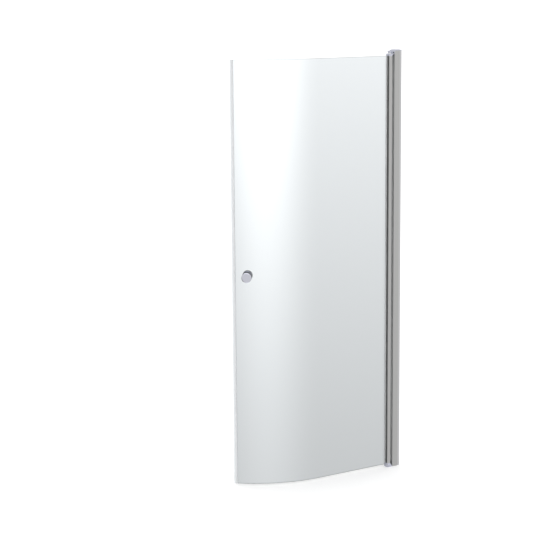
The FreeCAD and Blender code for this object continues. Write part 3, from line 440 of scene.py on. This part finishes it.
def white_acetal():
    """Natural acetal: milky, a little waxy, with the faint feed lines of the lathe."""
    material, tree, place = start_material("white_acetal")
    line_spacing = 0.0008  # real feed lines are about 0.1 mm apart, so these are coarser
    line_depth = 0.00003
    light_reach = 0.001
    feed = {"Vector": place, "Scale": 1 / line_spacing, "Detail": 2.0}
    lines = add(tree, "ShaderNodeTexNoise", feed).outputs["Fac"]
    tones = {0: lines, 6: linear("#ECEBE4"), 7: linear("#F5F4EE")}
    tint = add(tree, "ShaderNodeMix", tones, data_type="RGBA").outputs[2]
    dulling = {"Value": lines, "To Min": 0.26, "To Max": 0.4}
    dullness = add(tree, "ShaderNodeMapRange", dulling).outputs["Result"]
    dents = add(tree, "ShaderNodeBump", {"Height": lines, "Strength": 0.15, "Distance": line_depth})
    shader = add(
        tree,
        "ShaderNodeBsdfPrincipled",
        {
            "Base Color": tint,
            "Roughness": dullness,
            "Subsurface Weight": 0.15,
            "Subsurface Scale": light_reach,
            "Normal": dents.outputs["Normal"],
        },
    )
    add(tree, "ShaderNodeOutputMaterial", {"Surface": shader.outputs["BSDF"]})
    return material


def black_oxide_steel_and_painted_shade():
    """Alloy steel with a black oxide skin: near black, with dull spots where the oil has dried. The lock
    screw has it; in the pivot block's hole it is painted shade.
    """
    material, tree, place = start_material("black_oxide_steel_and_painted_shade")
    spots_per_metre = 1500.0  # dried oil leaves specks of about 0.7 mm
    oil = {"Vector": place, "Scale": spots_per_metre, "Detail": 3.0}
    spots = add(tree, "ShaderNodeTexNoise", oil).outputs["Fac"]
    tones = {0: spots, 6: linear("#141416"), 7: linear("#242427")}
    tint = add(tree, "ShaderNodeMix", tones, data_type="RGBA").outputs[2]
    dulling = {"Value": spots, "To Min": 0.3, "To Max": 0.5}
    dullness = add(tree, "ShaderNodeMapRange", dulling).outputs["Result"]
    shader = add(
        tree,
        "ShaderNodeBsdfPrincipled",
        {
            "Base Color": tint,
            "Metallic": 0.6,
            "Roughness": dullness,
        },
    )
    add(tree, "ShaderNodeOutputMaterial", {"Surface": shader.outputs["BSDF"]})
    return material


acetal = white_acetal()
for turned_part in ("top_pivot_pin", "bottom_pivot_pin", "bracket_screws", "plug_screws"):
    finish_node(turned_part, stainless)
for plain_bearing in ("thrust_washer", "top_pivot_bush", "bottom_pivot_bush"):
    finish_node(plain_bearing, acetal)
black_steel_and_painted_shade = black_oxide_steel_and_painted_shade()
finish_node("top_lock_screw", black_steel_and_painted_shade)


def settle(piece):
    """Works the piece's modifiers into its mesh and returns the mesh."""
    graph = bpy.context.evaluated_depsgraph_get()
    finished = bpy.data.meshes.new_from_object(piece.evaluated_get(graph))
    piece.modifiers.clear()
    piece.data = finished
    return finished


# Painted shade: the faces of the pivot block's screw hole, its wall and its rounded rim, take the black
# steel.
screw_low, screw_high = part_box("top_lock_screw")
lock_screw_axis = ((screw_low + screw_high) / 2).to_tuple()
shaded_hole_radius = 0.0044
shaded_hole_end = screw_high.y + 0.002
block = settle(eased_pieces["pivot_block"])
corner_places = np.empty(len(block.vertices) * 3)
block.vertices.foreach_get("co", corner_places)
corner_places = corner_places.reshape(-1, 3)
reach = np.hypot(corner_places[:, 0] - lock_screw_axis[0], corner_places[:, 2] - lock_screw_axis[2])
in_shaded_hole = (reach < shaded_hole_radius) & (corner_places[:, 1] < shaded_hole_end)
painted_shade_marks = [int(in_shaded_hole[list(face.vertices)].all()) for face in block.polygons]
block.materials.append(black_steel_and_painted_shade)
block.polygons.foreach_set("material_index", painted_shade_marks)

# ---------------------------------------------------------------------------------------------
# Stile
# A slim aluminium extrusion with a groove for the glass and a smaller one for the hinge seal, in the
# same satin finish as the post.
# ---------------------------------------------------------------------------------------------

finish_node("stile_profile", aluminium)

# ---------------------------------------------------------------------------------------------
# Glass
# One pane of 6 mm toughened float glass, flat beside the stile and then bent to a 550 mm radius, with
# ground edges and a drilled hole for the knob's stud.
# ---------------------------------------------------------------------------------------------

pane_low, pane_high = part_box("glass_pane")
pane_thickness = 0.006
bend_start = -0.450
bend_radius = 0.550
bend_turn = np.radians(43.0)
bend_centre_y = pane_low.y + bend_radius
flat_run = pane_high.x - bend_start
pane_run = flat_run + bend_radius * bend_turn
knob_inset = 0.060
knob_run = pane_run - knob_inset
knob_level = 0.991
hole_radius = 0.006
edge_ease = 0.0012
skin = 0.00003  # the glass keeps this hair's breadth from whatever touches it


def pane_point(run, level, depth):
    """A point of the pane: run metres along its outer face from the stile, at a level, so deep in it.

    In the flat part it lies straight along -X. Past the bend's start the angle t is the remaining run over
    the radius R, and the point is centre - (R - depth) * (sin t, cos t)."""
    run, level, depth = np.broadcast_arrays(run, level, depth)
    turn = np.clip(run - flat_run, 0, None) / bend_radius
    reach = bend_radius - depth
    flat = np.minimum(run, flat_run)
    x = pane_high.x - flat - reach * np.sin(turn)
    y = bend_centre_y - reach * np.cos(turn)
    return np.stack([x, y, level], axis=-1)


def face_plan():
    """The pane's face laid flat: points (run, level), their quads, the rim loop and the hole loop.

    Grid lines cross the whole face and close in on the knob. The block of cells there is taken out, and
    rings of points that change evenly from its square rim to a circle lead to the hole."""
    half = hole_radius * 2
    cells = 8
    flat_lines = 9
    level_lines = 7
    ring_count = 5
    near_runs = knob_run + np.linspace(-half, half, cells + 1)
    near_levels = knob_level + np.linspace(-half, half, cells + 1)
    bend_cell = bend_radius * np.radians(0.5)
    left_cells = int(np.ceil((near_runs[0] - flat_run) / bend_cell))
    right_cells = int(np.ceil((pane_run - edge_ease - near_runs[-1]) / bend_cell))
    runs = np.concatenate(
        [
            np.linspace(edge_ease, flat_run, flat_lines),
            np.linspace(flat_run, near_runs[0], left_cells + 1)[1:],
            near_runs[1:],
            np.linspace(near_runs[-1], pane_run - edge_ease, right_cells + 1)[1:],
        ]
    )
    levels = np.concatenate(
        [
            np.linspace(pane_low.z + edge_ease, near_levels[0], level_lines),
            near_levels[1:],
            np.linspace(near_levels[-1], pane_high.z - edge_ease, level_lines)[1:],
        ]
    )
    run_grid, level_grid = np.meshgrid(runs, levels, indexing="ij")
    points = np.stack([run_grid, level_grid], axis=-1).reshape(-1, 2)
    numbers = np.arange(len(points)).reshape(run_grid.shape)
    first_run = int(np.argmin(abs(runs - near_runs[0])))
    first_level = int(np.argmin(abs(levels - near_levels[0])))
    block = numbers[first_run : first_run + cells + 1, first_level : first_level + cells + 1]
    quads = grid_faces(len(runs), len(levels), False)
    row, column = np.divmod(quads[:, 0], len(levels))
    in_block = (row >= first_run) & (row < first_run + cells)
    in_block &= (column >= first_level) & (column < first_level + cells)
    quads = quads[~in_block]
    square = ring_of(block)
    offset = points[square] - [knob_run, knob_level]
    circle = offset / np.linalg.norm(offset, axis=1)[:, None] * hole_radius
    shares = np.linspace(0, 1, ring_count)[1:, None, None]
    rings = (offset * (1 - shares) + circle * shares + [knob_run, knob_level]).reshape(-1, 2)
    count = len(square)
    ring_numbers = np.concatenate([square, len(points) + np.arange(len(rings))])
    patch = ring_numbers[grid_faces(ring_count, count, True)]
    hole = ring_numbers[-count:]
    return np.concatenate([points, rings]), np.concatenate([quads, patch]), ring_of(numbers), hole


def ring_of(numbers):
    """The numbers round the rim of a grid, in order."""
    sides = (numbers[:-1, 0], numbers[-1, :-1], numbers[:0:-1, -1], numbers[0, :0:-1])
    return np.concatenate(sides)


def pane_surface():
    """Both faces of the pane, joined round the rim over eased edges and through the hole."""
    plan, quads, rim, hole = face_plan()
    count = len(plan)
    outer = pane_point(plan[:, 0], plan[:, 1], skin)
    inner = pane_point(plan[:, 0], plan[:, 1], pane_thickness - skin)
    rim_plan = plan[rim].copy()
    ends = ((edge_ease, pane_run - edge_ease), (pane_low.z + edge_ease, pane_high.z - edge_ease))
    for axis, (low, high) in enumerate(ends):
        rim_plan[:, axis] += (edge_ease - skin) * np.isclose(rim_plan[:, axis], high)
        rim_plan[:, axis] -= (edge_ease - skin) * np.isclose(rim_plan[:, axis], low)
    depths = (edge_ease, pane_thickness - edge_ease)
    belts = [pane_point(rim_plan[:, 0], rim_plan[:, 1], depth) for depth in depths]
    points = np.concatenate([outer, inner, *belts])
    loops = np.concatenate(
        [rim, 2 * count + np.arange(len(rim)), 2 * count + len(rim) + np.arange(len(rim)), rim + count]
    )
    edge = loops[grid_faces(4, len(rim), True)]
    bore = np.concatenate([hole, hole + count])[grid_faces(2, len(hole), True)]
    faces = np.concatenate([quads, quads[:, ::-1] + count, edge, bore])
    marks = np.concatenate([np.zeros(2 * len(quads)), np.ones(len(edge) + len(bore))])
    return points, faces, marks


def toughened_glass():
    """Float glass that rollers carried through the furnace: clear, with a long shallow wave that bends
    reflections a little."""
    material, tree, place = start_material("toughened_glass")
    wave_length = 0.32  # about one turn of a furnace roller
    wave_depth = 0.0012
    rolled = {"Vector": place, "Scale": 1 / wave_length, "Detail": 0.0}
    wave = add(tree, "ShaderNodeTexNoise", rolled).outputs["Fac"]
    ripple = add(tree, "ShaderNodeBump", {"Height": wave, "Strength": 0.3, "Distance": wave_depth})
    shader = add(
        tree,
        "ShaderNodeBsdfPrincipled",
        {
            "Base Color": linear("#F2F6F8"),
            "Roughness": 0.0,
            "IOR": 1.52,
            "Transmission Weight": 1.0,
            "Normal": ripple.outputs["Normal"],
        },
    )
    add(tree, "ShaderNodeOutputMaterial", {"Surface": shader.outputs["BSDF"]})
    return material


def ground_edge_with_painted_shade():
    """The pane's rim, ground with a fine wheel: a grey-green frost, mottled by the wheel's grit. Its colours
    are partly the frost's own and partly painted shade, darker than the frost for the dark line along the
    rim.
    """
    material, tree, place = start_material("ground_edge_with_painted_shade")
    grit = 0.0007  # a real finishing wheel's grit is about 0.1 mm, so this is drawn coarser
    grit_depth = 0.00006
    ground = {"Vector": place, "Scale": 1 / grit, "Detail": 3.0}
    frost = add(tree, "ShaderNodeTexNoise", ground).outputs["Fac"]
    # These tones are partly the frost's own grey-green and partly painted shade.
    tones = {0: frost, 6: linear("#66716F"), 7: linear("#78827F")}
    tint = add(tree, "ShaderNodeMix", tones, data_type="RGBA").outputs[2]
    dulling = {"Value": frost, "To Min": 0.3, "To Max": 0.5}
    dullness = add(tree, "ShaderNodeMapRange", dulling).outputs["Result"]
    dents = add(tree, "ShaderNodeBump", {"Height": frost, "Strength": 0.5, "Distance": grit_depth})
    shader = add(
        tree,
        "ShaderNodeBsdfPrincipled",
        {
            "Base Color": tint,
            "Roughness": dullness,
            "IOR": 1.52,
            "Transmission Weight": 0.6,
            "Normal": dents.outputs["Normal"],
        },
    )
    add(tree, "ShaderNodeOutputMaterial", {"Surface": shader.outputs["BSDF"]})
    return material


pane_points, pane_faces, pane_marks = pane_surface()
pane = build("bent_pane", pane_points, pane_faces, crease=20.0, marks=pane_marks)
dress(pane, [toughened_glass(), ground_edge_with_painted_shade()], "door", "glass_pane")

# ---------------------------------------------------------------------------------------------
# Glazing gaskets and seals
# Clear soft PVC, extruded. The two gaskets grip the glass in the stile, the fin closes the hinge gap
# and the strip on the free edge grips the glass and ends in a soft lip.
# ---------------------------------------------------------------------------------------------


def soft_vinyl(name, dark, light, clearness, gloss):
    """Plasticised PVC: clear or a little milky, with faint drag lines of the extruder along it."""
    material, tree, place = start_material(name)
    light_reach = 0.003
    drag_spacing = 0.0009  # real drag lines are about 0.2 mm apart, so these are coarser
    drag_length = 2.5
    drag_depth = 0.00005
    gloss_change = 0.12
    stretch = (1 / drag_spacing, 1 / drag_spacing, 1 / drag_length)
    along = add(tree, "ShaderNodeMapping", {"Vector": place, "Scale": stretch}).outputs["Vector"]
    drag = add(tree, "ShaderNodeTexNoise", {"Vector": along, "Scale": 1.0, "Detail": 2.0}).outputs["Fac"]
    tones = {0: drag, 6: linear(dark), 7: linear(light)}
    tint = add(tree, "ShaderNodeMix", tones, data_type="RGBA").outputs[2]
    dulling = {"Value": drag, "To Min": gloss, "To Max": gloss + gloss_change}
    dullness = add(tree, "ShaderNodeMapRange", dulling).outputs["Result"]
    dents = add(tree, "ShaderNodeBump", {"Height": drag, "Strength": 0.3, "Distance": drag_depth})
    shader = add(
        tree,
        "ShaderNodeBsdfPrincipled",
        {
            "Base Color": tint,
            "Roughness": dullness,
            "IOR": 1.53,
            "Transmission Weight": clearness,
            "Subsurface Weight": 0.9,
            "Subsurface Radius": (1.0, 1.0, 1.0),
            "Subsurface Scale": light_reach,
            "Normal": dents.outputs["Normal"],
        },
    )
    add(tree, "ShaderNodeOutputMaterial", {"Surface": shader.outputs["BSDF"]})
    return material


vinyl = soft_vinyl("clear_vinyl", "#E9EBED", "#F1F2F3", 0.15, 0.16)
milky_vinyl = soft_vinyl("milky_vinyl", "#DBDEE0", "#E3E5E7", 0.12, 0.22)
stile_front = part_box("stile_profile")[0].x
lip_radius = 0.0003
lip_slope = 1.4
gasket_strip = 0.001
gasket_step = 0.0004


def gasket(name, node, outward):
    """A glazing gasket, extruded along Z: a thin strip between groove and glass, then a lip outside the
    stile, thicker by the hook and sloped to a soft edge. Outward is -1 on the room side, 1 on the other."""
    low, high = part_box(node)
    glass_side = high.y if outward < 0 else low.y
    lip_side = low.y if outward < 0 else high.y
    groove_side = glass_side + outward * gasket_strip
    hook = abs(lip_side - groove_side)
    corners = [
        (low.x, glass_side, 0),
        (low.x, groove_side - outward * gasket_step, lip_radius),
        (low.x + hook * lip_slope, lip_side, lip_radius * 2),
        (stile_front, lip_side, lip_radius),
        (stile_front, groove_side, 0),
        (high.x, groove_side, 0),
        (high.x, glass_side, 0),
    ]
    return build(name, *extruded(rounded(corners), low.z, high.z))


gaskets = (("outer_gasket", "outer_glazing_gasket", -1), ("inner_gasket", "inner_glazing_gasket", 1))
for name, node, outward in gaskets:
    dress(gasket(name, node, outward), [vinyl], "door", node)

fin_low, fin_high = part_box("hinge_seal")
fin_half = 0.0006
fin_tip_half = fin_half * 0.7
fin_tip_radius = fin_half * 0.65
fin_middle = (fin_low.y + fin_high.y) / 2
fin_foot = 0.0024
fin_foot_radius = 0.0003
fin_root_radius = 0.0002
fin_foot_end = fin_low.x + fin_foot
fin_corners = [
    (fin_low.x, fin_low.y, fin_foot_radius),
    (fin_foot_end, fin_low.y, fin_foot_radius),
    (fin_foot_end, fin_middle - fin_half, fin_root_radius),
    (fin_high.x, fin_middle - fin_tip_half, fin_tip_radius),
    (fin_high.x, fin_middle + fin_tip_half, fin_tip_radius),
    (fin_foot_end, fin_middle + fin_half, fin_root_radius),
    (fin_foot_end, fin_high.y, fin_foot_radius),
    (fin_low.x, fin_high.y, fin_foot_radius),
]
fin = build("hinge_fin", *extruded(rounded(fin_corners), fin_low.z, fin_high.z))
dress(fin, [milky_vinyl], "door", "hinge_seal")

edge_low, edge_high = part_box("leading_edge_seal")
edge_grip = 0.0065
edge_gap = 0.0001
edge_wall = 0.0012
edge_inner = pane_thickness / 2 + edge_gap
edge_outer = edge_inner + edge_wall
edge_web = 0.0015
edge_reach = 0.010
edge_fin = 0.0009
edge_tip = edge_fin * 0.7
edge_mouth_radius = 0.0005
edge_shoulder_radius = 0.0012
edge_fin_radius = 0.0006
edge_inner_radius = 0.0002
edge_corners = [
    (-edge_grip, -edge_outer, edge_mouth_radius),
    (edge_web, -edge_outer, edge_shoulder_radius),
    (edge_web * 2, -edge_fin, edge_fin_radius),
    (edge_reach, -edge_tip, edge_fin_radius),
    (edge_reach, edge_tip, edge_fin_radius),
    (edge_web * 2, edge_fin, edge_fin_radius),
    (edge_web, edge_outer, edge_shoulder_radius),
    (-edge_grip, edge_outer, edge_mouth_radius),
    (-edge_grip, edge_inner, edge_inner_radius),
    (0, edge_inner, 0),
    (0, -edge_inner, 0),
    (-edge_grip, -edge_inner, edge_inner_radius),
]
edge_outline = rounded(edge_corners)
along_edge = np.array([-np.cos(bend_turn), np.sin(bend_turn)])
across_edge = np.array([-np.sin(bend_turn), -np.cos(bend_turn)])
edge_root = pane_point(pane_run, 0.0, pane_thickness / 2)[:2]
edge_plan = edge_root + edge_outline[:, :1] * along_edge + edge_outline[:, 1:] * across_edge
edge_strip = build("edge_strip", *extruded(edge_plan, edge_low.z, edge_high.z))
dress(edge_strip, [milky_vinyl], "door", "leading_edge_seal")

# ---------------------------------------------------------------------------------------------
# Knobs
# A pair of solid brass cylinders, turned, bevelled and chrome plated, screwed together through the
# glass on one stud, with soft washers against the pane. A set screw locks the inner one from below.
# ---------------------------------------------------------------------------------------------


def polished_chrome():
    """Bright chrome over polished brass: a cool mirror with hair-fine wiping marks."""
    material, tree, place = start_material("polished_chrome")
    wipe_spacing = 0.0025  # a cloth leaves its marks a few millimetres apart
    wiping = {"Vector": place, "Scale": 1 / wipe_spacing, "Detail": 5.0}
    marks = add(tree, "ShaderNodeTexNoise", wiping).outputs["Fac"]
    tones = {0: marks, 6: linear("#DCDDE8"), 7: linear("#E2E3ED")}
    tint = add(tree, "ShaderNodeMix", tones, data_type="RGBA").outputs[2]
    dulling = {"Value": marks, "To Min": 0.03, "To Max": 0.09}
    dullness = add(tree, "ShaderNodeMapRange", dulling).outputs["Result"]
    shader = add(
        tree,
        "ShaderNodeBsdfPrincipled",
        {
            "Base Color": tint,
            "Metallic": 1.0,
            "Roughness": dullness,
        },
    )
    add(tree, "ShaderNodeOutputMaterial", {"Surface": shader.outputs["BSDF"]})
    return material


chrome = polished_chrome()
knob_radius = 0.023
knob_length = 0.0355
knob_bevel = 0.003
knob_washer = 0.001
knob_crease = 50.0
stud_radius = 0.003
stud_bite = 0.0161
knob_turn = (knob_run - flat_run) / bend_radius
knob_axis = np.array([-np.sin(knob_turn), -np.cos(knob_turn), 0.0])
knob_foot = pane_point(knob_run, knob_level, 0.0)


def knob_outline():
    """Half of a knob from the bottom of its stud hole to the middle of its end face, all edges eased."""
    foot_ease = 0.0005
    bevel_ease = foot_ease * 1.6
    open_corners = [
        (0.0, stud_bite, 0),
        (stud_radius, stud_bite, 0),
        (stud_radius, 0.0, 0),
        (knob_radius, 0.0, foot_ease),
        (knob_radius, knob_length - knob_bevel, bevel_ease),
        (knob_radius - knob_bevel, knob_length, bevel_ease),
        (0.0, knob_length, 0),
    ]
    return rounded(open_corners, steps=6)


def knob(name, node, start, direction):
    """A knob turned from its outline, standing on the start point and pointing along the direction."""
    piece = build(name, *lathe(knob_outline(), start, direction, steps=96), crease=knob_crease)
    return dress(piece, [chrome], "door", node)


knob("room_knob", "outer_knob", knob_foot + knob_axis * knob_washer, knob_axis)
shower_foot = knob_foot - knob_axis * (pane_thickness + knob_washer)
shower_knob = knob("shower_knob", "inner_knob", shower_foot, -knob_axis)


def drilled(piece, centre, radius, foot, top):
    """Bores an upright hole through the piece, from the foot level to the top level."""
    low, high = foot - centre[2], top - centre[2]
    outline = [(0.0, low), (radius, low), (radius, high), (0.0, high)]
    drill = build("drill", *lathe(outline, centre, [0, 0, 1], steps=32))
    hole = piece.modifiers.new("hole", "BOOLEAN")
    hole.object = drill
    hole.operation = "DIFFERENCE"
    hole.solver = "EXACT"
    settle(piece)
    bpy.data.objects.remove(drill)
    piece.data.set_sharp_from_angle(angle=np.radians(knob_crease))


set_screw_inset = 0.008
set_screw_radius = 0.00201
drill_start = knob_level - knob_radius * 1.2
set_screw_axis = shower_foot - knob_axis * set_screw_inset
drilled(shower_knob, set_screw_axis, set_screw_radius, drill_start, knob_level - stud_radius)
for steel_part in ("knob_stud", "knob_set_screw"):
    finish_node(steel_part, stainless)
for soft_part in ("outer_knob_washer", "inner_knob_washer"):
    finish_node(soft_part, vinyl)
finish_node("knob_sleeve", acetal)

# ---------------------------------------------------------------------------------------------
# Studio
# A plain white floor under an even white sky. A round grey backdrop, lighter towards the top, shows only
# in reflections and through the glass. Two dark parts of it give the stile and the chrome their contrast.
# ---------------------------------------------------------------------------------------------

scene = bpy.context.scene
scene.view_settings.view_transform = "Standard"


def plain_floor():
    """Matt white board, with the faint unevenness of a rolled coat. A little glow keeps shadows pale."""
    material, tree, place = start_material("white_floor")
    patches_per_metre = 3.0
    glow = 0.08
    coat = add(tree, "ShaderNodeTexNoise", {"Vector": place, "Scale": patches_per_metre}).outputs["Fac"]
    tones = {0: coat, 6: linear("#FAFAFA"), 7: linear("#FDFDFD")}
    tint = add(tree, "ShaderNodeMix", tones, data_type="RGBA").outputs[2]
    shader = add(
        tree,
        "ShaderNodeBsdfPrincipled",
        {
            "Base Color": tint,
            "Roughness": 0.9,
            "Emission Color": linear("#FFFFFF"),
            "Emission Strength": glow,
            "Specular IOR Level": 0.1,
        },
    )
    add(tree, "ShaderNodeOutputMaterial", {"Surface": shader.outputs["BSDF"]})
    return material


def disc(radius, steps=96):
    """Points radius * (cos a, sin a) for angles a all round, at level 0, and the one face between them."""
    angle = np.linspace(0, 2 * np.pi, steps, endpoint=False)
    points = np.stack([radius * np.cos(angle), radius * np.sin(angle), 0 * angle], axis=1)
    return points, [list(range(steps))]


floor_radius = 120.0
floor = build("floor", *disc(floor_radius))
floor.data.materials.append(plain_floor())
floor.visible_glossy = False
floor.visible_transmission = False

sky_light = 1.2
sky = bpy.data.worlds.new("even_sky")
sky.use_nodes = True
sky_inputs = sky.node_tree.nodes["Background"].inputs
sky_inputs["Color"].default_value = linear("#FFFFFF")
sky_inputs["Strength"].default_value = sky_light
scene.world = sky

backdrop_radius = 3.0
backdrop_middle = np.array([-0.4, 0.0])
backdrop_turns = np.radians(np.linspace(0, 360, 361))
backdrop_levels = np.linspace(-8.0, 4.5, 126)
strip_turn = np.radians(27.3)
strip_half = np.radians(6.9)
strip_every = np.radians(45.0)
band_start = np.radians(-56.0)
band_end = np.radians(-2.0)
band_fade = np.radians(10.0)
band_foot = -3.5
band_rise = 1.5
patch_turn = np.radians(29.5)
patch_spread = np.radians(16.5)
patch_reach = 0.9
dark_light = 0.02


def held(level):
    """The level z, held at -1.5 m below it and at 2.5 m above it, past which the light no longer changes."""
    return np.clip(level, -1.5, 2.5)


def room_light(level):
    """Light of the room side: 0.725 + 0.03 z."""
    return 0.725 + 0.03 * held(level)


def backdrop_light():
    """Light of the backdrop at each point, by its turn from the shower side and its level z.

    On the shower side it is 0.728 + 0.125 z + 0.012 z squared. Soft upright strips reach
    0.927 + 0.235 z + 0.05 z squared at their middle and fall off with the squared cosine of the turn. The
    cosine of the turn leads from there to the light of the room side."""
    turn, level = np.meshgrid(backdrop_turns, backdrop_levels, indexing="ij")
    z = held(level)
    plain = 0.728 + 0.125 * z + 0.012 * z**2
    strip = 0.927 + 0.235 * z + 0.05 * z**2
    off = (turn - strip_turn + strip_every / 2) % strip_every - strip_every / 2
    share = np.cos(np.clip(off / strip_half, -1, 1) * np.pi / 2) ** 2
    shower = plain + (strip - plain) * share
    room = room_light(level)
    behind = np.clip(0.5 + 0.8 * np.cos(turn), 0, 1)
    return room + (shower - room) * behind


def mirrored_light():
    """Light that mirrors see: that of the room side all round, but for two dark parts on the shower side.

    A band for the stile rises over its fade from its left edge, falls over it to its right edge, and
    rises from its foot. A patch for the knobs is the product of a bell of the turn and a bell of the
    level, each the exponential of minus the eighth power."""
    turn, level = np.meshgrid(backdrop_turns, backdrop_levels, indexing="ij")
    turn = (turn + np.pi) % (2 * np.pi) - np.pi
    left = np.clip((turn - band_start) / band_fade, 0, 1)
    right = np.clip((band_end - turn) / band_fade, 0, 1)
    band = left * right * np.clip((level - band_foot) / band_rise, 0, 1)
    aside = (turn - patch_turn) / patch_spread
    above = (level - knob_level) / patch_reach
    patch = np.exp(-(aside**8) - above**8)
    return dark_light + (room_light(level) - dark_light) * (1 - band) * (1 - patch)


def backdrop_cloth():
    """What is seen in a mirror takes the mirrored attribute of the backdrop, the rest the light one."""
    material, tree, _ = start_material("backdrop_cloth")
    light = add(tree, "ShaderNodeAttribute", attribute_name="light").outputs["Fac"]
    mirrored = add(tree, "ShaderNodeAttribute", attribute_name="mirrored").outputs["Fac"]
    bounces = add(tree, "ShaderNodeLightPath").outputs["Glossy Depth"]
    choice = {"Value": bounces, "To Min": light, "To Max": mirrored}
    strength = add(tree, "ShaderNodeMapRange", choice).outputs["Result"]
    glow = add(tree, "ShaderNodeEmission", {"Strength": strength})
    add(tree, "ShaderNodeOutputMaterial", {"Surface": glow.outputs["Emission"]})
    material.cycles.emission_sampling = "NONE"
    return material


def round_backdrop():
    """An upright cylinder round the door, whose points carry their light as two attributes: the point at
    a turn t and a level z is the middle + radius * (sin t, cos t), z. The camera doesn't see it, and it
    neither lights the object softly nor shades it."""
    turn, level = np.meshgrid(backdrop_turns, backdrop_levels, indexing="ij")
    x = backdrop_middle[0] + backdrop_radius * np.sin(turn)
    y = backdrop_middle[1] + backdrop_radius * np.cos(turn)
    points = np.stack([x, y, level], axis=-1).reshape(-1, 3)
    mesh = bpy.data.meshes.new("backdrop")
    faces = grid_faces(len(backdrop_turns), len(backdrop_levels), False)
    mesh.from_pydata(points.tolist(), [], faces.tolist())
    for kind, amounts in (("light", backdrop_light()), ("mirrored", mirrored_light())):
        attribute = mesh.attributes.new(kind, "FLOAT", "POINT")
        attribute.data.foreach_set("value", amounts.ravel().astype(np.float32))
    mesh.materials.append(backdrop_cloth())
    board = bpy.data.objects.new("backdrop", mesh)
    scene.collection.objects.link(board)
    board.visible_camera = False
    board.visible_diffuse = False
    board.visible_shadow = False


round_backdrop()

# The camera stands on the room side, out past the free edge and a little above the door, and tilts down.
camera_data = bpy.data.cameras.new("camera")
camera = bpy.data.objects.new("camera", camera_data)
scene.collection.objects.link(camera)
scene.camera = camera
camera_spot = Vector((-4.591, -5.957, 2.287))
camera_yaw = np.radians(32.98)
camera_tilt = np.radians(10.02)
camera_roll = np.radians(-0.45)
lens_pixels = 1600.0  # focal length, in pixels of a frame that is 540 wide
frame_pixels = 540.0
camera_data.sensor_width = 36.0
camera_data.lens = lens_pixels / frame_pixels * camera_data.sensor_width
turned = Matrix.Rotation(-camera_yaw, 4, "Z") @ Matrix.Rotation(np.pi / 2 - camera_tilt, 4, "X")
camera.matrix_world = Matrix.Translation(camera_spot) @ turned @ Matrix.Rotation(camera_roll, 4, "Z")
